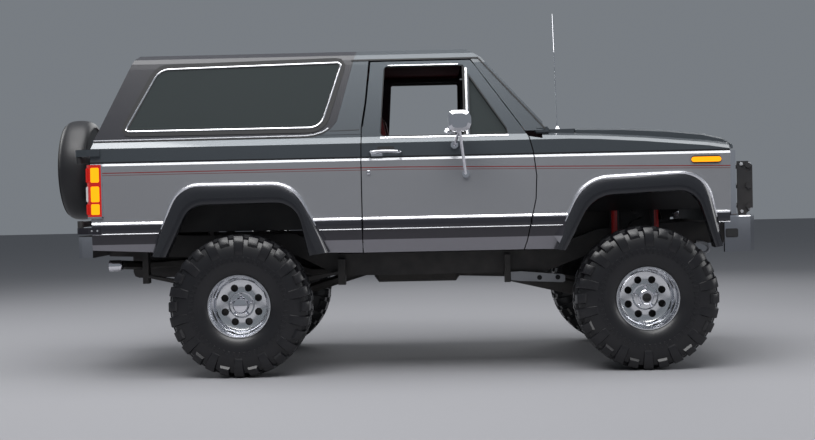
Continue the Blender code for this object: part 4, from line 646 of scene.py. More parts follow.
# %% [markdown]
# ## Nuts, cap and locking hub
# Five nuts hold the wheel. The rear axle ends under a domed chrome cap, and the front one in a
# locking hub whose dial is turned by hand to engage it. All are small turned parts.
# %% Turn the small parts
NUTS, NUT_CIRCLE = 5, 0.070
bm = bmesh.new()
for k in range(NUTS):
    a = 2 * math.pi * (k + 0.25) / NUTS
    nut = (NUT_CIRCLE * math.cos(a), 0, NUT_CIRCLE * math.sin(a))
    turned(bm, [(0.008, 0.0125), (0.028, 0.0125), (0.036, 0.008), (0.037, 0.0)], nut, (0, 1, 0), 6)
nuts_mesh = as_mesh(bm, 20)
bm = bmesh.new()
turned(bm, [(0.008, 0.058), (0.030, 0.057), (0.060, 0.052), (0.074, 0.044), (0.080, 0.030),
            (0.081, 0.0)], (0, 0, 0), (0, 1, 0), 48)
cap_mesh = as_mesh(bm, 30)
bm = bmesh.new()
turned(bm, [(0.006, 0.050), (0.050, 0.049), (0.053, 0.044), (0.075, 0.043), (0.078, 0.040),
            (0.078, 0.0)], (0, 0, 0), (0, 1, 0), 40)
hub_mesh = as_mesh(bm, 30)
bm = bmesh.new()
turned(bm, [(0.078, 0.030), (0.083, 0.029), (0.084, 0.0)], (0, 0, 0), (0, 1, 0), 32)
block(bm, (-0.024, 0.082, -0.005), (0.024, 0.090, 0.005), 0.002)
dial_mesh = as_mesh(bm, 30)
print("small wheel parts:", len(nuts_mesh.polygons), len(cap_mesh.polygons), len(hub_mesh.polygons))

# %% [markdown]
# ## Four wheels on their axles
# One mesh of each part serves all four corners. The right ones are turned half round about the
# upright axis, so that the dish looks outwards on both sides.
# %% Fit the wheels
for x, end in ((FRONT_X, "front"), (REAR_X, "rear")):
    for side, word in SIDES:
        body = f"wheel_{end}_{word}"
        spot = Matrix.Translation((x, side * WHEEL_Y, AXLE_Z))
        if side < 0:
            spot = spot @ Matrix.Rotation(math.pi, 4, "Z")
        tyre = put(f"mud_tyre_{end}_{word}", tyre_mesh, RUBBER, body, spot)
        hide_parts(f"tyre_{end}_{word}")
        dish = put(f"dish_wheel_{end}_{word}", rim_mesh, ALLOY, body, spot)
        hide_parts(f"rim_{end}_{word}")
        put(f"wheel_nuts_{end}_{word}", nuts_mesh, CHROME, body, spot)
        if end == "front":
            put(f"locking_hub_{word}", hub_mesh, CHROME, body, spot)
            put(f"hub_dial_{word}", dial_mesh, DARK_TRIM_AND_SHADE, body, spot)
        else:
            put(f"centre_cap_{word}", cap_mesh, CHROME, body, spot)
print(len(PIECES), "wheel pieces")

# %% [markdown]
# ## Lines for pressed edges
# A pressed edge is drawn as corners with radii. One helper rounds the corners, and one shares the
# line out in even steps, so that two lines of the same count can be skinned together.
# %% Rounded lines
def rounded(rows, steps=8):
    """A line of x, z through corners that are rounded to their radius."""
    points = []
    for i, (x, z, radius) in enumerate(rows):
        here = Vector((x, z))
        if not radius or i in (0, len(rows) - 1):
            points.append(here)
            continue
        back = (Vector(rows[i - 1][:2]) - here).normalized()
        ahead = (Vector(rows[i + 1][:2]) - here).normalized()
        half = math.acos(max(-1.0, min(1.0, back.dot(ahead)))) / 2
        start, end = here + back * radius / math.tan(half), here + ahead * radius / math.tan(half)
        middle = here + (back + ahead).normalized() * radius / math.sin(half)
        a0 = math.atan2(start.y - middle.y, start.x - middle.x)
        a1 = math.atan2(end.y - middle.y, end.x - middle.x)
        sweep = (a1 - a0 + math.pi) % (2 * math.pi) - math.pi
        points += [middle + Vector((math.cos(a0 + sweep * k / steps), math.sin(a0 + sweep * k / steps)))
                   * radius for k in range(steps + 1)]
    return points


def even(points, count):
    """The same line with points at even shares of its length."""
    reach = [0.0]
    for a, b in zip(points, points[1:]):
        reach.append(reach[-1] + (b - a).length)
    line = []
    k = 0
    for i in range(count + 1):
        want = reach[-1] * i / count
        while k < len(points) - 2 and reach[k + 1] < want:
            k += 1
        share = (want - reach[k]) / (reach[k + 1] - reach[k])
        line.append(points[k].lerp(points[k + 1], min(share, 1.0)))
    return line


print("a square with radius 0.2 rounds to", len(rounded([(0, 0, 0), (1, 0, 0.2), (1, 1, 0)])), "points")

# %% [markdown]
# ## Round bars
# Beads, hooks, handles and rubbers have a round section. The bar's rings are turned as little as
# possible from one point to the next, so that it never twists.
# %% Round bars
def rod(bm, points, radius, sides=12, radii=None, closed=False):
    """A round bar through points, with one radius or one for each point."""
    points = [Vector(p) for p in points]
    rings = []
    side = None
    count = len(points)
    for i, p in enumerate(points):
        before = points[i - 1] if i or closed else p
        after = points[(i + 1) % count] if i < count - 1 or closed else p
        along = (after - before).normalized()
        if side is None:
            side = along.orthogonal().normalized()
        side = (side - along * side.dot(along)).normalized()
        other = along.cross(side)
        r = radii[i] if radii else radius
        rings.append([p + (side * math.cos(a) + other * math.sin(a)) * r
                      for a in (2 * math.pi * k / sides for k in range(sides))])
    skin_rings(bm, rings, closed=closed)


print("round bars have 12 sides unless told otherwise")

# %% [markdown]
# ## Wheel-arch flares and their bright beads
# Each arch carries a pressed flare whose outer edge is closed by a bright bead. Both are swept along
# the same two rounded outlines as the sheet metal behind them, with finer steps, so the facets of
# the plain solid disappear under a smooth lip.
# %% Flares
# rows of x from the axle, height over the body's bottom edge, radius: inner line, then outer line
ARCHES = {"front": (FRONT_X, [(-0.530, -0.010, 0), (-0.345, 0.345, 0.220), (0.325, 0.375, 0.160),
                              (0.445, -0.010, 0)],
                    [(-0.600, 0.000, 0), (-0.405, 0.455, 0.260), (0.385, 0.485, 0.200),
                     (0.500, 0.000, 0)]),
          "rear": (REAR_X, [(-0.475, -0.002, 0), (-0.312, 0.340, 0.150), (0.385, 0.345, 0.170),
                            (0.470, -0.010, 0)],
                   [(-0.575, 0.002, 0), (-0.381, 0.465, 0.200), (0.365, 0.462, 0.220),
                    (0.600, 0.010, 0)])}
FLARE_Y, FLARE_STEPS = 1.0005, 44
OUTLINES = {}
for end, (axle, inner_rows, outer_rows) in ARCHES.items():
    inner, outer = (even([Vector((axle + p.x, BODY_Z + p.y)) for p in rounded(rows)], FLARE_STEPS)
                    for rows in (inner_rows, outer_rows))
    OUTLINES[end] = outer
    for side, word in SIDES:
        bm = bmesh.new()
        rings = []
        for low, high in zip(inner, outer):
            across = high - low
            skin = skin_y(high.y)
            # share of the way from inner to outer line, and half width there
            steps = ((1.00, skin - 0.006), (1.00, skin + 0.010), (0.90, skin * 0.45 + FLARE_Y * 0.55),
                     (0.76, FLARE_Y - 0.003), (0.50, FLARE_Y), (0.16, FLARE_Y + 0.001),
                     (-0.02, FLARE_Y - 0.002), (-0.07, FLARE_Y - 0.012), (-0.07, FLARE_Y - 0.078))
            rings.append([(low.x + across.x * t, side * y, low.y + across.y * t) for t, y in steps])
        skin_rings(bm, rings)
        put(f"flare_{end}_{word}", as_mesh(bm, 50), FLARE, "chassis")
print("flares along", FLARE_STEPS, "steps")

# %% [markdown]
# ## Beads on the flares
# The bead is a bright round moulding on the flare's outer line. It swells from a thin foot above
# the side strips to its full size over the wheel, so its radius grows with the height.
# %% Beads
BEAD_FOOT_Z, BEAD_R, BEAD_FOOT_SHARE, BEAD_RISE = 0.955, 0.0125, 0.40, 0.20
for end, outer in OUTLINES.items():
    line = [p for p in outer if p.y > BEAD_FOOT_Z]
    radii = [BEAD_R * min(1.0, BEAD_FOOT_SHARE + (1 - BEAD_FOOT_SHARE) * (p.y - BEAD_FOOT_Z) / BEAD_RISE)
             for p in line]
    for side, word in SIDES:
        bm = bmesh.new()
        rod(bm, [(p.x, side * (skin_y(p.y) + 0.006), p.y) for p in line], BEAD_R, 8, radii)
        put(f"flare_bead_{end}_{word}", as_mesh(bm), BRIGHT, "chassis")
print("beads on", len(OUTLINES) * 2, "flares")

# %% [markdown]
# ## A strip that follows the skin
# Roll-formed strips, rubbers and seams all lie on the side wall. One helper carries a low crowned
# section along a line of x and z and takes its depth from the skin, so a strip never floats.
# %% Ribbons
def ribbon(bm, line, half, proud, side, sink=0.002, crown=0.0, depth=None, closed=False):
    """A strip that lies on the side wall along a line of x and z, drawn at its middle."""
    rings = []
    flat = [Vector((x, z)) for x, z in line]
    last = len(flat) - 1
    for i, p in enumerate(flat):
        after = flat[(i + 1) % len(flat)] if closed else flat[min(i + 1, last)]
        ahead = (after - (flat[i - 1] if closed or i else p)).normalized()
        across = Vector((-ahead.y, ahead.x)) * half
        low, high = p - across, p + across
        y = depth or skin_y
        ring = [(low.x, side * (y(low.y) - sink), low.y), (low.x, side * (y(low.y) + proud), low.y),
                (p.x, side * (y(p.y) + proud + crown), p.y),
                (high.x, side * (y(high.y) + proud), high.y),
                (high.x, side * (y(high.y) - sink), high.y)]
        rings.append(ring)
    skin_rings(bm, rings, closed=closed)


print("a strip at 1.021 m lies on the skin at", round(skin_y(1.021), 4))

# %% [markdown]
# ## Where a panel ends
# Each panel has its own length of strip, cut short of the shut lines. The strips end at the flares
# and at the slanting front edge of the door, so both are asked for their place at the strip's height.
# %% Ends of the panels
TAIL_X, DOOR_REAR_X, NOSE_X = -2.020, -0.2495, 2.135
DOOR_FRONT_LINE = [(0.80, 0.7975), (0.86, 0.8175), (1.13, 0.8775), (1.28, 0.8845), (1.442, 0.8655),
                   (1.537, 0.8405)]


def crossing(end, z, ahead):
    """Where the flare's outer edge crosses a height, behind or ahead of the wheel."""
    hits = []
    for a, b in zip(OUTLINES[end], OUTLINES[end][1:]):
        if (a.y - z) * (b.y - z) <= 0 and a.y != b.y:
            hits.append(a.x + (b.x - a.x) * (z - a.y) / (b.y - a.y))
    return max(hits) if ahead else min(hits)


def door_front(z):
    """Where the door's front edge crosses a height."""
    for (z0, x0), (z1, x1) in zip(DOOR_FRONT_LINE, DOOR_FRONT_LINE[1:]):
        if z <= z1:
            return x0 + (x1 - x0) * (z - z0) / (z1 - z0)
    return DOOR_FRONT_LINE[-1][1]


print("door front edge at the strip:", round(door_front(1.021), 4))

# %% [markdown]
# ## Strips along the side
# A bright strip runs along the body a little above the tyres' tops, with a black insert under it
# and a thin bright line at the insert's lower edge. The lengths on the doors swing with them.
# %% Strips
# name, middle height, half height, how far it stands proud, finish, slot
STRIPS = [("bright_strip", 1.021, 0.0095, 0.004, BRIGHT, "chrome"),
          ("black_insert", 0.985, 0.0280, 0.005, TOP_BLACK, "top_black"),
          ("thin_strip", 0.954, 0.0040, 0.004, BRIGHT, "chrome")]
FLARE_GAP, REAR_GAP, DOOR_GAP, FENDER_GAP = 0.006, 0.010, 0.003, 0.010
END_CUT, STRIP_CROWN = 0.004, 0.005
for stem, z, half, proud, look, slot in STRIPS:
    runs = [("quarter_tail", TAIL_X, crossing("rear", z, False) - FLARE_GAP, "chassis"),
            ("quarter", crossing("rear", z, True) + FLARE_GAP, DOOR_REAR_X - REAR_GAP, "chassis"),
            ("door", DOOR_REAR_X + DOOR_GAP, door_front(z) - DOOR_GAP, "door"),
            ("fender", door_front(z) + FENDER_GAP, crossing("front", z, False) - FLARE_GAP, "chassis"),
            ("nose", crossing("front", z, True) + FLARE_GAP, NOSE_X, "chassis")]
    for where, x0, x1, host in runs:
        for side, word in SIDES:
            bm = bmesh.new()
            ribbon(bm, [(x0, z), (x0 + END_CUT, z), (x1 - END_CUT, z), (x1, z)], half, proud, side,
                   crown=STRIP_CROWN)
            body = f"door_{word}" if host == "door" else host
            put(f"{stem}_{where}_{word}", as_mesh(bm), look, body)
print(len(STRIPS) * 10, "lengths of strip")

# %% [markdown]
# ## Bent bars
# A bent bar bends evenly, which a line of straight runs doesn't. A smooth curve goes through a few
# points that are easy to place by hand, and the bar follows the curve.
# %% Smooth curves
def smooth_line(points, steps=5):
    """A smooth curve through points, for bent bars."""
    points = [Vector(p) for p in points]
    count = len(points)
    fine = []
    for i in range(count - 1):
        a, b = points[max(i - 1, 0)], points[i]
        c, d = points[i + 1], points[min(i + 2, count - 1)]
        for step in range(steps):
            t = step / steps
            fine.append(0.5 * ((2 * b) + (c - a) * t + (2 * a - 5 * b + 4 * c - d) * t * t
                               + (3 * b - a - 3 * c + d) * t ** 3))
    fine.append(points[-1])
    return fine


print("a curve through 3 points has", len(smooth_line([(0, 0, 0), (1, 1, 0), (2, 0, 0)])), "points")

# %% [markdown]
# ## Door handle and lock
# The door has a chrome pull handle over a dished recess, with the thumb lever's plate below and a round lock
# further down. The recess is drawn as a flat near-black strip on the skin: painted shade of the dish. The
# handle's points are given on the skin with how far they stand out, so it keeps its grip's clearance along
# the leaning wall.
# %% Handle and lock
HANDLE_Z, LEVER_DROP, RECESS_RISE = 1.452, 0.016, 0.018
LEVER_X, LOCK_X, LOCK_Z = (-0.186, -0.180, -0.120, -0.112), -0.205, 1.322
LOCK = [(-0.002, 0.013), (0.006, 0.013), (0.008, 0.009), (0.008, 0.0)]
RECESS = [(-0.142, 0.016), (-0.132, RECESS_RISE), (-0.048, RECESS_RISE), (-0.038, 0.016)]
# place along the door, height over the handle's line, distance from the skin
HANDLE = [(-0.196, 0.0, 0.004), (-0.186, 0.0, 0.026), (-0.160, 0.004, 0.032), (-0.100, 0.006, 0.034),
          (-0.030, 0.004, 0.032), (0.000, 0.0, 0.022), (0.008, 0.0, 0.004)]


def on_skin(x, z, side, out=0.0):
    """A point on the side wall, or a little outside it."""
    return (x, side * (skin_y(z) + out), z)


for side, word in SIDES:
    bm = bmesh.new()
    ribbon(bm, [(x, HANDLE_Z - LEVER_DROP) for x in LEVER_X], 0.009, 0.006, side)
    turned(bm, LOCK, on_skin(LOCK_X, LOCK_Z, side), (0, side, 0), 20)
    put(f"handle_plate_{word}", as_mesh(bm), CHROME, f"door_{word}")
    bm = bmesh.new()
    # The recess is a flat near-black strip: painted shade of the dished recess above the handle's bar.
    ribbon(bm, [(x, HANDLE_Z + up) for x, up in RECESS], 0.020, 0.004, side)
    put(f"handle_recess_shade_{word}", as_mesh(bm), DARK_TRIM_AND_SHADE, f"door_{word}")
    bm = bmesh.new()
    rod(bm, smooth_line([on_skin(x, HANDLE_Z + up, side, out) for x, up, out in HANDLE]), 0.0085, 10)
    put(f"door_handle_{word}", as_mesh(bm), CHROME, f"door_{word}")
print("handles at", HANDLE_Z)

# %% [markdown]
# ## Outlines of windows
# A window's outline is four corners with radii. Its rubber lies outside that line and its bright
# trim inside, so one helper closes the outline and another moves the corners out or in.
# %% Closed outlines
def loop(rows, count, steps=8):
    """An even closed outline through corners that are rounded to their radius."""
    start = ((rows[0][0] + rows[-1][0]) / 2, (rows[0][1] + rows[-1][1]) / 2, 0)
    line = rounded([start] + rows + [start], steps)
    return [(p.x, p.y) for p in even(line, count)[:-1]]


def grown(rows, by):
    """The same corners moved outwards from their middle by a distance on each side."""
    mx = sum(r[0] for r in rows) / len(rows)
    mz = sum(r[1] for r in rows) / len(rows)
    return [(x + math.copysign(by, x - mx), z + math.copysign(by, z - mz), max(r + by, 0.004))
            for x, z, r in rows]


# corners of the quarter window: x, z, radius
QUARTER_WINDOW = [(-1.8035, 1.627, 0.012), (-1.5815, 2.034, 0.11), (-0.3755, 2.055, 0.016),
                  (-0.5175, 1.627, 0.10)]
print("quarter window outline:", len(loop(QUARTER_WINDOW, 120)), "points")

# %% [markdown]
# ## Quarter windows
# The fixed side windows are dark glass behind a black rubber, with a thin bright trim pressed into
# it. The pane follows the crowned skin between them, and replaces the plain pane of the CAD model.
# %% Quarter windows
WINDOW_STEPS = 120
RUBBER_OUT, RUBBER_HALF, TRIM_IN, TRIM_HALF = 0.014, 0.021, -0.002, 0.0050
PANE_FACES = (-0.004, 0.002)
for side, word in SIDES:
    bm = bmesh.new()
    ribbon(bm, loop(grown(QUARTER_WINDOW, RUBBER_OUT), WINDOW_STEPS), RUBBER_HALF, 0.0045, side,
           closed=True)
    put(f"quarter_rubber_{word}", as_mesh(bm), SEAL, "chassis")
    bm = bmesh.new()
    ribbon(bm, loop(grown(QUARTER_WINDOW, TRIM_IN), WINDOW_STEPS), TRIM_HALF, 0.0075, side,
           crown=0.002, closed=True)
    put(f"quarter_trim_{word}", as_mesh(bm), BRIGHT, "chassis")
    bm = bmesh.new()
    pane = loop(QUARTER_WINDOW, WINDOW_STEPS)
    skin_rings(bm, [[on_skin(x, z, side, out) for x, z in pane] for out in PANE_FACES])
    glass = put(f"quarter_pane_{word}", as_mesh(bm), TINT_AND_SHADE_GLASS, "chassis")
    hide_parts(f"quarter_glass_{word}")
print("quarter windows trimmed")

# %% [markdown]
# ## Sill line under the topper
# A thin bright line runs along the sill, where the removable topper meets the body, and turns up
# behind the door. A dark seam under it shows that the two are separate pieces.
# %% Sill line
TOPPER_TAIL_X, SILL_LINE_Z, SEAM_DROP = -2.006, 1.569, 0.0085
SILL_LINE = [(TOPPER_TAIL_X, SILL_LINE_Z), (-0.62, SILL_LINE_Z + 0.004), (-0.56, SILL_LINE_Z + 0.010),
             (-0.50, SILL_LINE_Z + 0.028), (-0.465, SILL_LINE_Z + 0.052)]
for side, word in SIDES:
    bm = bmesh.new()
    ribbon(bm, SILL_LINE, 0.0035, 0.0045, side)
    put(f"sill_line_{word}", as_mesh(bm), BRIGHT, "chassis")
    bm = bmesh.new()
    ribbon(bm, [(x, z - SEAM_DROP) for x, z in SILL_LINE], 0.005, 0.002, side)
    put(f"sill_seam_{word}", as_mesh(bm), SEAL, "chassis")
print("sill lines from", SILL_LINE[0], "to", SILL_LINE[-1])

# %% [markdown]
# ## Run channels of the door windows
# The drop glass is down, so the opening shows its black run channel, and the vent pane in front of
# it sits in a narrower one. Both channels lie a little inside the door's skin.
# %% Window channels
# corners of the door's two openings: x, z, radius
DOOR_WINDOW = [(-0.1305, 1.555, 0.03), (-0.0965, 2.025, 0.02), (0.4275, 2.025, 0.02),
               (0.4275, 1.555, 0.01)]
VENT = [(0.4605, 1.555, 0.005), (0.4605, 1.965, 0.005), (0.7005, 1.600, 0.005), (0.7125, 1.555, 0.005)]
CHANNEL_IN, CHANNEL_DEEP = -0.004, 0.006


def run_depth(z):
    """Half width of the run channel, which lies inside the door skin."""
    return skin_y(z) - CHANNEL_DEEP


for side, word in SIDES:
    bm = bmesh.new()
    ribbon(bm, loop(grown(DOOR_WINDOW, CHANNEL_IN), 96), 0.010, 0.002, side, sink=0.030,
           depth=run_depth, closed=True)
    ribbon(bm, loop(grown(VENT, CHANNEL_IN), 60), 0.008, 0.004, side, sink=0.020, depth=run_depth,
           closed=True)
    put(f"window_channel_{word}", as_mesh(bm), SEAL, f"door_{word}")
print("channels sit", CHANNEL_DEEP, "m inside the skin")

# %% [markdown]
# ## Bright window trim and pillar seals
# A bright strip caps the window's head and the belt, and a bright bar parts the window from the vent
# pane. Black seals run along the drip rail and down the windscreen pillar, and a fine seam shows
# where the topper ends behind the door.
# %% Trim and seals
HEAD_Z, BELT_Z, VENT_BAR_X, RAIL_Z, SEAM_Z = 2.030, 1.549, 0.444, 2.070, 1.600
# line, half width, how far it stands proud
TRIM_LINES = [([(-0.070, HEAD_Z), (-0.060, HEAD_Z), (0.380, HEAD_Z), (0.395, HEAD_Z)], 0.0035, 0.004),
              ([(VENT_BAR_X, z) for z in (1.560, 1.575, 1.995, 2.005)], 0.0065, 0.005),
              ([(-0.125, BELT_Z), (-0.115, BELT_Z), (0.700, BELT_Z), (0.712, BELT_Z)], 0.0035, 0.004)]
PILLAR, PILLAR_BACK = [(0.975, 1.585), (0.938, 1.628), (0.744, 1.848), (0.548, RAIL_Z)], 0.022
SEAL_LINES = [([(-0.310, RAIL_Z), (-0.300, RAIL_Z), (0.500, RAIL_Z), (0.530, RAIL_Z)], 0.005, 0.004),
              ([(x - PILLAR_BACK, z) for x, z in PILLAR], 0.0045, 0.003)]
SEAM_LINES = [([(-0.455, SEAM_Z), (-0.445, SEAM_Z), (-0.275, SEAM_Z + 0.004), (-0.262, SEAM_Z + 0.004)],
               0.0022, 0.001)]
for side, word in SIDES:
    for stem, lines, look, body, slot in (
            ("window_trim", TRIM_LINES, BRIGHT, f"door_{word}", "chrome"),
            ("pillar_seal", SEAL_LINES, SEAL, "chassis", "trim"),
            ("pillar_seam", SEAM_LINES, SEAL, "chassis", "trim")):
        bm = bmesh.new()
        for line, half, proud in lines:
            ribbon(bm, line, half, proud, side)
        put(f"{stem}_{word}", as_mesh(bm), look, body)
print("door windows trimmed")

# %% [markdown]
# ## Windscreen and rear glass
# Both are bonded in a black rubber that follows the rounded outline of the glass, and the
# windscreen's rubber holds a thin bright trim. The bars are laid on the leaning plane of each pane.
# %% Glass rubbers
SCREEN = [(-0.806, 1.649, 0.06), (-0.696, 2.020, 0.06), (0.696, 2.020, 0.06), (0.806, 1.649, 0.06)]
SCREEN_X, SCREEN_SLOPE = 0.902, -0.8823
BACK = [(-0.736, 1.617, 0.06), (-0.646, 2.045, 0.06), (0.646, 2.045, 0.06), (0.736, 1.617, 0.06)]
BACK_X, BACK_SLOPE = -1.9664, 0.4639
GLASS_RUBBER_R, SCREEN_TRIM_R, TRIM_LIFT = 0.009, 0.0035, 0.008


def on_pane(rows, x0, slope, y, z, out):
    """A point over a pane whose plane leans along x, at a place across and a height."""
    normal = Vector((1.0, -slope)).normalized() * (1 if x0 > 0 else -1)
    return (x0 + slope * (z - rows[0][1]) + normal.x * out, y, z + normal.y * out)


def glass_ring(bm, rows, x0, slope, lift, radius):
    """A round bar along the outline of a pane."""
    points = [on_pane(rows, x0, slope, y, z, lift) for y, z in loop(rows, WINDOW_STEPS)]
    rod(bm, points, radius, 8, closed=True)


bm = bmesh.new()
glass_ring(bm, SCREEN, SCREEN_X, SCREEN_SLOPE, 0.0, GLASS_RUBBER_R)
glass_ring(bm, BACK, BACK_X, BACK_SLOPE, 0.0, GLASS_RUBBER_R)
put("glass_rubber", as_mesh(bm), SEAL, "chassis")
bm = bmesh.new()
glass_ring(bm, SCREEN, SCREEN_X, SCREEN_SLOPE, TRIM_LIFT, SCREEN_TRIM_R)
put("screen_trim", as_mesh(bm), BRIGHT, "chassis")
print("glass set")

# %% [markdown]
# ## Wipers
# Two wiper arms rest low on the glass, each on a spindle in the cowl. The arm is a bent bar, and the
# blade under it lies on the glass.
# %% Wipers
WIPER_Y, SPINDLE_AXIS = (-0.34, 0.34), (0.66, 0, 0.75)
SPINDLE = [(-0.02, 0.014), (0.012, 0.013), (0.014, 0.0)]
# place across from the spindle, height, distance from the glass
ARM = [(0.0, 1.628, 0.016), (-0.10, 1.665, 0.028), (-0.28, 1.690, 0.020)]
BLADE = [(-0.06, 1.672, 0.010), (-0.28, 1.686, 0.012), (-0.42, 1.690, 0.010)]
bm = bmesh.new()
for pivot in WIPER_Y:
    arm, blade = ([on_pane(SCREEN, SCREEN_X, SCREEN_SLOPE, pivot + y, z, out) for y, z, out in line]
                  for line in (ARM, BLADE))
    turned(bm, SPINDLE, arm[0], SPINDLE_AXIS, 16)
    rod(bm, arm, 0.005, 8)
    rod(bm, blade, 0.0055, 6)
put("wipers", as_mesh(bm), SEAL, "chassis")
print(len(WIPER_Y), "wipers parked")

# %% [markdown]
# ## Tail lamps
# The tail lamp is a red housing that wraps the body's corner. Its side shows three lit segments, its
# back two red ones round a clear reversing lens, and a thin chrome edge frames it.
# %% Tail lamps
LAMP_X, LAMP_FORE, LAMP_Y, LAMP_IN, LAMP_Z, LAMP_TOP = -2.0505, -1.9505, 0.984, 0.800, 1.071, 1.410
TOP_SEGMENT, MIDDLE_SEGMENT, LOW_SEGMENT = (1.295, 1.391), (1.167, 1.269), (1.084, 1.154)
LENS_BEVEL = 0.004
LAMP_EDGES = ((LAMP_FORE - 0.001, LAMP_Z - 0.010, LAMP_FORE + 0.006, LAMP_TOP),
              (LAMP_X + 0.006, LAMP_Z - 0.012, LAMP_FORE + 0.006, LAMP_Z))


def back_lenses(segments, side):
    """Lenses on the back of the tail lamp, between its inner edge and the corner."""
    bm = bmesh.new()
    for low, high in segments:
        block(bm, (LAMP_X - 0.005, side * (LAMP_IN + 0.014), low),
              (LAMP_X + 0.010, side * (LAMP_Y - 0.014), high), LENS_BEVEL)
    return as_mesh(bm)


for side, word in SIDES:
    bm = bmesh.new()
    for low, high in (TOP_SEGMENT, MIDDLE_SEGMENT, LOW_SEGMENT):
        block(bm, (LAMP_X + 0.030, side * (LAMP_Y - 0.010), low),
              (LAMP_FORE - 0.015, side * (LAMP_Y + 0.004), high), LENS_BEVEL)
    put(f"tail_segments_{word}", as_mesh(bm), LIT, "chassis")
    put(f"brake_segments_{word}", back_lenses((TOP_SEGMENT, LOW_SEGMENT), side), HOUSING, "chassis")
    put(f"reverse_lens_{word}", back_lenses((MIDDLE_SEGMENT,), side), CLEAR_LENS, "chassis")
    bm = bmesh.new()
    for x0, z0, x1, z1 in LAMP_EDGES:
        block(bm, (x0, side * (LAMP_Y - 0.012), z0), (x1, side * (LAMP_Y + 0.002), z1), 0.001)
    put(f"tail_lamp_edge_{word}", as_mesh(bm), CHROME, "chassis")
print("tail lamps lit")

# %% [markdown]
# ## Side markers
# The marker on the front fender glows amber: a low crowned lens with round ends in a black bezel.
# %% Side markers
MARKER = [(1.892, 1.341, 0.018), (1.892, 1.382, 0.018), (2.079, 1.382, 0.018), (2.079, 1.341, 0.018)]
MARKER_Z, MARKER_HALF, MARKER_ENDS = 1.3615, 0.0165, (1.906, 2.065)
for side, word in SIDES:
    bm = bmesh.new()
    ribbon(bm, [(x, MARKER_Z) for x in (1.905, 1.912, 2.058, 2.066)], MARKER_HALF, 0.010, side,
           crown=0.004)
    for x in MARKER_ENDS:
        turned(bm, [(-0.004, MARKER_HALF), (0.009, MARKER_HALF), (0.012, 0.0)],
               on_skin(x, MARKER_Z, side), (0, side, 0), 20)
    put(f"marker_lens_{word}", as_mesh(bm), LIT, "chassis")
    bm = bmesh.new()
    ribbon(bm, loop(MARKER, 60), 0.0035, 0.006, side, closed=True)
    put(f"marker_bezel_{word}", as_mesh(bm), DARK_TRIM_AND_SHADE, "chassis")
print("side markers at", MARKER_Z)

# %% [markdown]
# ## Headlamps and signals
# In front, one rectangular sealed beam sits on each side over an amber signal, both in thin chrome
# frames before a dark bucket. The grille has a dark back behind its bars.
# %% Front lamps
GRILLE_X, LAMP_SIDES, BUCKET_SIDES = 2.193, (0.588, 0.788), (0.566, 0.810)
BUCKET_Z, BEAM_Z, SIGNAL_Z = (1.036, 1.387), (1.190, 1.345), (1.066, 1.142)
FRAME_ROUND, FRAME_OUT = 0.012, 0.008
# name, sides across, heights, back and front from the grille's face, edge, finish, slot
LAMP_PARTS = [("lamp_bucket", BUCKET_SIDES, BUCKET_Z, (-0.034, -0.018), 0.0, DARK_TRIM_AND_SHADE, "trim"),
              ("headlamp", LAMP_SIDES, BEAM_Z, (-0.030, -0.006), 0.010, BEAM, "glass"),
              ("turn_signal", LAMP_SIDES, SIGNAL_Z, (-0.030, -0.010), 0.006, AMBER_LENS, "red_lens")]
for side, word in SIDES:
    for stem, (y0, y1), (low, high), (back, fore), edge, look, slot in LAMP_PARTS:
        bm = bmesh.new()
        block(bm, (GRILLE_X + back, side * y0, low), (GRILLE_X + fore, side * y1, high), edge)
        put(f"{stem}_{word}", as_mesh(bm), look, "chassis")
    bm = bmesh.new()
    for low, high in (BEAM_Z, SIGNAL_Z):
        y0, y1 = LAMP_SIDES[0] - FRAME_OUT, LAMP_SIDES[1] + FRAME_OUT
        low, high = low - FRAME_OUT, high + FRAME_OUT
        corners = [(y0, low, FRAME_ROUND), (y0, high, FRAME_ROUND), (y1, high, FRAME_ROUND),
                   (y1, low, FRAME_ROUND)]
        rod(bm, [(GRILLE_X - 0.012, side * y, z) for y, z in loop(corners, 48)], 0.005, 8, closed=True)
    put(f"lamp_frames_{word}", as_mesh(bm), CHROME, "chassis")
bm = bmesh.new()
block(bm, (GRILLE_X - 0.046, -0.538, 1.040), (GRILLE_X - 0.036, 0.538, 1.384))
put("grille_mesh_back", as_mesh(bm), DARK_TRIM_AND_SHADE, "chassis")
print("front lamps set")

# %% [markdown]
# ## Foam under a sewn cover
# A car seat is a foam block in a sewn cover, which crowns between its seams. The underside and the
# lines of the seams are held, and a short cloth simulation blows the rest up a little, as much as the
# foam would push.
# %% Blow up a cover
FOAM_VOXEL, BLOW_FRAMES, BULGE_LIMIT, BLOW_FORCE = 0.010, 20, 0.024, 4.0
HELD_BOTTOM, HELD_TOP, SEAM_HALF, SEAM_END = 0.012, 0.015, 0.006, 0.05


def baked(made):
    """The mesh of an object as its modifiers leave it."""
    bpy.context.view_layer.update()
    return bpy.data.meshes.new_from_object(made.evaluated_get(bpy.context.evaluated_depsgraph_get()))


def blown_up(foam, held):
    """Places of the cover's points after pressure has acted on all that isn't held."""
    foam.vertex_groups.new(name="held").add(held, 1.0, "REPLACE")
    cloth = foam.modifiers.new("cover", "CLOTH")
    cloth.settings.vertex_group_mass = "held"
    cloth.settings.use_pressure = True
    cloth.settings.uniform_pressure_force = BLOW_FORCE
    cloth.settings.effector_weights.gravity = 0.0
    cloth.collision_settings.use_collision = False
    cloth.point_cache.frame_start, cloth.point_cache.frame_end = 1, BLOW_FRAMES
    for step in range(1, BLOW_FRAMES + 1):
        bpy.context.scene.frame_set(step)
    blown = foam.evaluated_get(bpy.context.evaluated_depsgraph_get()).data
    places = [v.co.copy() for v in blown.vertices]
    foam.modifiers.clear()
    return places


print("cloth is blown up over", BLOW_FRAMES, "frames")

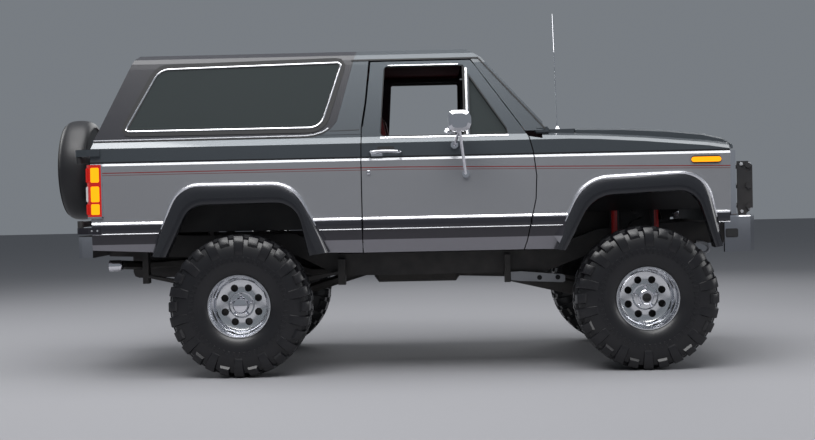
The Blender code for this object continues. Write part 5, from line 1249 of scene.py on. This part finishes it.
# %% [markdown]
# ## A sewn cushion
# The foam is a rounded box that is remeshed into small even faces, so the cover can crown. What the
# blowing moves too far is drawn back to a limit, and one smoothing step takes the mesh's grid away.
# %% Cushion maker
def cushion(name, size, seams, edge=0.035):
    """A sewn cushion of length, width and height, standing on z = 0, with seams along it."""
    length, width, height = size
    bm = bmesh.new()
    block(bm, (-length / 2, -width / 2, 0), (length / 2, width / 2, height), edge)
    plain = as_mesh(bm, 60)
    foam = bpy.data.objects.new(name, plain)
    bpy.context.scene.collection.objects.link(foam)
    remesh = foam.modifiers.new("foam", "REMESH")
    remesh.mode, remesh.voxel_size = "VOXEL", FOAM_VOXEL
    cover = baked(foam)
    foam.modifiers.clear()
    foam.data = cover
    held = [v.index for v in cover.vertices if v.co.z < HELD_BOTTOM or (
        v.co.z > height - HELD_TOP and abs(v.co.x) < length / 2 - SEAM_END
        and any(abs(v.co.y - line) < SEAM_HALF for line in seams))]
    rest = [v.co.copy() for v in cover.vertices]
    for vertex, old, new in zip(cover.vertices, rest, blown_up(foam, held)):
        move = new - old
        vertex.co = old + move * min(1.0, BULGE_LIMIT / max(move.length, 1e-6))
    foam.modifiers.new("smooth", "SUBSURF").levels = 1
    done = baked(foam)
    done.shade_smooth()
    bpy.data.objects.remove(foam)
    bpy.context.scene.frame_set(1)
    return done


print("cushions swell by", BULGE_LIMIT, "m at most")

# %% [markdown]
# ## Cushions of two seats and a bench
# Both bucket seats share one cushion and one back. The bench behind them is more than twice as wide,
# so it has more seams. Each is made lying flat, and is placed later.
# %% Cushions
BUCKET_SEAMS, BENCH_SEAMS = (-0.12, 0.0, 0.12), (-0.34, -0.17, 0.0, 0.17, 0.34)
seat_mesh = cushion("seat_foam", (0.44, 0.46, 0.115), BUCKET_SEAMS)
back_mesh = cushion("back_foam", (0.46, 0.44, 0.085), BUCKET_SEAMS)
bench_mesh = cushion("bench_foam", (0.42, 1.02, 0.115), BENCH_SEAMS)
bench_back_mesh = cushion("bench_back_foam", (0.42, 1.02, 0.085), BENCH_SEAMS)
print("cushions of", [len(m.polygons) for m in (seat_mesh, back_mesh, bench_mesh, bench_back_mesh)], "faces")

# %% [markdown]
# ## Seats in the cabin
# The cushions rest on plain moulded pedestals, tipped back a little, and the backs lean further. The
# pedestals take the place of the plain seats of the CAD model.
# %% Seats
SEAT_Y, SEAT_FLOOR = 0.43, 1.006
CUSHION_TIP, SEAT_LEAN, BENCH_LEAN = -4, -102, -100


def placed(x, y, z, lean):
    """A place whose length leans up from level by an angle in degrees, towards the back."""
    return Matrix.Translation((x, y, z)) @ Matrix.Rotation(math.radians(lean), 4, "Y")


for side, word in SIDES:
    bm = bmesh.new()
    block(bm, (0.02, side * (SEAT_Y - 0.19), SEAT_FLOOR), (0.42, side * (SEAT_Y + 0.19), 1.205), 0.012)
    block(bm, (-0.080, side * (SEAT_Y - 0.20), 1.19), (0.46, side * (SEAT_Y + 0.20), 1.235), 0.015)
    pedestal = put(f"seat_pedestal_{word}", as_mesh(bm), MOULDED, "chassis")
    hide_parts(f"seat_{word}")
    put(f"seat_cushion_{word}", seat_mesh, CLOTH, "chassis",
                  placed(0.235, side * SEAT_Y, 1.236, CUSHION_TIP))
    put(f"seat_back_{word}", back_mesh, CLOTH, "chassis",
                  placed(-0.090, side * SEAT_Y, 1.535, SEAT_LEAN))
bm = bmesh.new()
block(bm, (-0.98, -0.48, SEAT_FLOOR), (-0.58, 0.48, 1.20), 0.012)
pedestal = put("bench_pedestal", as_mesh(bm), MOULDED, "chassis")
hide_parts("rear_seat")
put("bench_cushion", bench_mesh, CLOTH, "chassis", placed(-0.775, 0, 1.201, CUSHION_TIP))
put("bench_back", bench_back_mesh, CLOTH, "chassis", placed(-1.105, 0, 1.500, BENCH_LEAN))
print("seats in place")

# %% [markdown]
# ## Headliner, door seals and carpet
# A cloth liner hangs under the roof, a rubber lip closes the gap over each door, and a filler covers
# the corner between cowl and pillar. Carpet lies on the steel floor. They keep light and bare steel
# out of the openings, as the real trim does.
# %% Cabin trim
LINER = [(-0.733, 2.060), (-0.725, 2.074), (-0.660, 2.084), (0.660, 2.084), (0.725, 2.074),
         (0.733, 2.060)]
LINER_ENDS, LINER_THICK, LINER_IN = (-1.60, 0.43), 0.004, 0.995
bm = bmesh.new()
section = LINER + [(y * LINER_IN, z + LINER_THICK) for y, z in LINER[::-1]]
skin_rings(bm, [[(x, y, z) for y, z in section] for x in LINER_ENDS])
put("headliner", as_mesh(bm), CLOTH, "chassis")
for side, word in SIDES:
    bm = bmesh.new()
    block(bm, (-0.262, side * 0.728, 2.036), (0.440, side * 0.742, 2.068), 0.003)
    put(f"door_top_seal_{word}", as_mesh(bm), SEAL, "chassis")
    bm = bmesh.new()
    block(bm, (0.886, side * 0.845, 1.556), (0.978, side * 0.925, 1.598), 0.008)
    put(f"cowl_corner_{word}", as_mesh(bm), PLAIN_PAINT, "chassis")
bm = bmesh.new()
block(bm, (-1.92, -0.60, 1.0055), (0.80, 0.60, 1.013), 0.003)
put("carpet", as_mesh(bm), CARPET, "chassis")
print("cabin trimmed")

# %% [markdown]
# ## Covered spare wheel
# The spare stands on the swing-out carrier in a black vinyl cover: a flat face with a sewn welt at
# its rim, a rounded shoulder, and a hem that is drawn in behind the tyre by its elastic.
# %% Spare cover
SPARE_X, SPARE_Z, SPARE_R = -2.4125, 1.400, 0.358
# distance from the face, radius
COVER = [(0.001, 0.0), (0.001, 0.20), (0.003, 0.290), (0.008, 0.318), (0.006, 0.326), (0.012, 0.332),
         (0.022, 0.345), (0.045, 0.354), (0.085, SPARE_R), (0.130, 0.356), (0.165, 0.348),
         (0.190, 0.330), (0.198, 0.305), (0.190, 0.300), (0.185, 0.0)]
COVER_STEPS, WELT_R, WELT_DEEP = 96, 0.326, 0.006
bm = bmesh.new()
turned(bm, COVER, (SPARE_X, 0, SPARE_Z), (1, 0, 0), COVER_STEPS)
cover = put("vinyl_cover", as_mesh(bm, 50), VINYL, "spare_carrier")
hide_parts("spare_cover")
bm = bmesh.new()
rod(bm, [(SPARE_X + WELT_DEEP, WELT_R * math.cos(a), SPARE_Z + WELT_R * math.sin(a))
         for a in (2 * math.pi * k / COVER_STEPS for k in range(COVER_STEPS))], 0.0045, 8, closed=True)
put("cover_welt", as_mesh(bm), SEAL, "spare_carrier")
print("spare covered")

# %% [markdown]
# ## Front bumper trim
# The front bumper is a chromed pressing with a rolled lip along its top edge, a rubber pad at each
# end and two round-headed bolts on each side. The lip is a thin bar that follows the bumper's line.
# %% Bumper pads, lips and bolts
BUMPER_TOP = 0.985
BUMPER_LINE = [(2.104, 0.951), (2.193, 0.946), (2.283, 0.896), (2.335, 0.776), (2.355, 0.600), (2.362, 0.0)]
LIP_IN_X, LIP_IN_Y, LIP_RISE, LIP_R = 0.004, 0.006, 0.001, 0.007
BUMPER_BOLT = [(-0.004, 0.016), (0.003, 0.015), (0.007, 0.009), (0.008, 0.0)]
BOLT_X, BOLT_Y, BOLT_HEIGHTS = 2.3605, 0.30, (0.820, 0.922)
for side, word in SIDES:
    bm = bmesh.new()
    block(bm, (2.108, side * 0.948, 0.850), (2.190, side * 0.960, 0.908), 0.005)
    put(f"bumper_pad_{word}", as_mesh(bm), SEAL, "chassis")
    bm = bmesh.new()
    rod(bm, [(x - LIP_IN_X, side * (y - LIP_IN_Y), BUMPER_TOP + LIP_RISE) for x, y in BUMPER_LINE], LIP_R, 8)
    for z in BOLT_HEIGHTS:
        turned(bm, BUMPER_BOLT, (BOLT_X, side * BOLT_Y, z), (1, 0, 0), 20)
    put(f"bumper_lip_{word}", as_mesh(bm), CHROME, "chassis")
print("front bumper fitted")

# %% [markdown]
# ## Tow hooks, guard bolts and rear step
# Tow hooks are bent bars that reach down from the frame horns. The guard's plates are held by hexagon
# bolts. On the rear bumper a black pad gives a foothold on the chrome.
# %% Hooks, bolts and step
HOOK_Y, HOOK_R = 0.470, 0.011
HOOK = [(2.010, 0.805), (2.060, 0.800), (2.092, 0.775), (2.088, 0.742), (2.056, 0.730), (2.034, 0.752)]
GUARD_Y = 0.4265
GUARD_BOLTS = ((2.336, 1.010), (2.390, 1.030), (2.390, 1.335), (2.336, 1.335))
for side, word in SIDES:
    bm = bmesh.new()
    rod(bm, smooth_line([(x, side * HOOK_Y, z) for x, z in HOOK]), HOOK_R, 10)
    put(f"tow_hook_{word}", as_mesh(bm), GREY_STEEL, "chassis")
    bm = bmesh.new()
    for x, z in GUARD_BOLTS:
        turned(bm, [(-0.002, 0.013), (0.007, 0.012), (0.009, 0.0)], (x, side * GUARD_Y, z), (0, side, 0), 6)
    put(f"guard_bolts_{word}", as_mesh(bm), GREY_STEEL, "chassis")
    bm = bmesh.new()
    block(bm, (-2.128, side * 0.50, 0.9395), (-2.040, side * 0.90, 0.9435), 0.001)
    put(f"rear_step_pad_{word}", as_mesh(bm), SEAL, "chassis")
print("hooks and step fitted")

# %% [markdown]
# ## Shock sleeves and radius-arm plates
# The lift shows in the front arches: each coil stands between two shocks with red sleeves, and the long
# radius arm has a bare steel plate with two round holes. The holes are shallow near-black discs of painted
# shade, because nothing shows behind them.
# %% Sleeves and plates
SLEEVE_X, SLEEVE_Y, SLEEVE_Z = (FRONT_X - 0.1400, FRONT_X + 0.1195), 0.551, 0.870
SLEEVE = [(0.0, 0.0295), (0.0, 0.0305), (0.200, 0.0305), (0.200, 0.0295)]
ARM_PLATE = [(0.735, 0.573), (0.735, 0.628), (0.800, 0.632), (1.090, 0.606), (1.105, 0.596),
             (1.105, 0.560), (1.090, 0.552), (0.800, 0.566)]
PLATE_FACES, HOLE_X, HOLE_Z = (0.5095, 0.5135), (0.930, 1.055), 0.587
for side, word in SIDES:
    bm = bmesh.new()
    for x in SLEEVE_X:
        turned(bm, SLEEVE, (x, side * SLEEVE_Y, SLEEVE_Z), (0, 0, 1), 24)
    put(f"shock_sleeves_{word}", as_mesh(bm), SHOCK_RED, "chassis")
    bm = bmesh.new()
    skin_rings(bm, [[(x, side * y, z) for x, z in ARM_PLATE] for y in PLATE_FACES])
    put(f"radius_plate_{word}", as_mesh(bm, 20), GREY_STEEL, "chassis")
    bm = bmesh.new()
    # The holes are drawn as near-black discs of painted shade.
    for x in HOLE_X:
        turned(bm, [(0.0, 0.017), (0.001, 0.017), (0.001, 0.0)], (x, side * 0.5133, HOLE_Z), (0, side, 0), 24)
    put(f"plate_hole_shade_{word}", as_mesh(bm), DARK_TRIM_AND_SHADE, "chassis")
print("front suspension dressed")

# %% [markdown]
# ## Exhaust tip
# The tail pipe ends in a chrome tip, a short tube with a rolled mouth. Its profile is turned as a
# closed ring, so that the tube stays hollow.
# %% Exhaust tip
TIP = [(-0.022, 0.032), (-0.024, 0.038), (0.050, 0.038), (0.062, 0.027), (-0.006, 0.027)]
TIP_PLACE = (-1.926, -0.801, 0.740)
bm = bmesh.new()
turned(bm, TIP, TIP_PLACE, (1, 0, 0), 32, closed=True)
put("exhaust_tip", as_mesh(bm, 50), CHROME, "chassis")
print("exhaust tip at", TIP_PLACE)

# %% [markdown]
# ## Mirror glass
# Each door mirror has a flat glass that looks back. It is a thin plate on the back of the head, in
# the same bright finish as the sealed beams, and it swings with its door.
# %% Mirror glass
for side, word in SIDES:
    bm = bmesh.new()
    block(bm, (0.3155, side * 1.089, 1.602), (0.3175, side * 1.211, 1.666), 0.001)
    put(f"mirror_glass_{word}", as_mesh(bm), BEAM, f"door_{word}")
print("mirrors glazed")

# %% [markdown]
# ## Carrier hinge bolts and filler flap
# The spare carrier's two hinge brackets are bolted to the right tail corner, and the flap over the
# fuel filler is a low round cap on the left quarter panel.
# %% Bolts and flap
# height of a bracket, how far its face stands off the skin
BRACKETS, BRACKET_BOLT_X = ((1.487, 0.006), (0.979, 0.004)), (-1.985, -2.022)
FLAP = [(-0.002, 0.034), (0.001, 0.034), (0.002, 0.030), (0.003, 0.0)]
FLAP_X, FLAP_Z = -1.620, 1.300
bm = bmesh.new()
for z, off in BRACKETS:
    for x in BRACKET_BOLT_X:
        turned(bm, [(-0.004, 0.010), (0.006, 0.009), (0.008, 0.0)], on_skin(x, z, -1, off), (0, -1, 0), 6)
put("bracket_bolts", as_mesh(bm), GREY_STEEL, "chassis")
bm = bmesh.new()
turned(bm, FLAP, on_skin(FLAP_X, FLAP_Z, 1, -0.001), (0, 1, 0), 32)
put("filler_door", as_mesh(bm), PLAIN_PAINT, "chassis")
print("hinge bolts and filler flap set")

# %% [markdown]
# ## Closing the lesson
# The number of pieces that the lesson adds is printed.
# %% Count the pieces
print(len(PIECES), "pieces added")
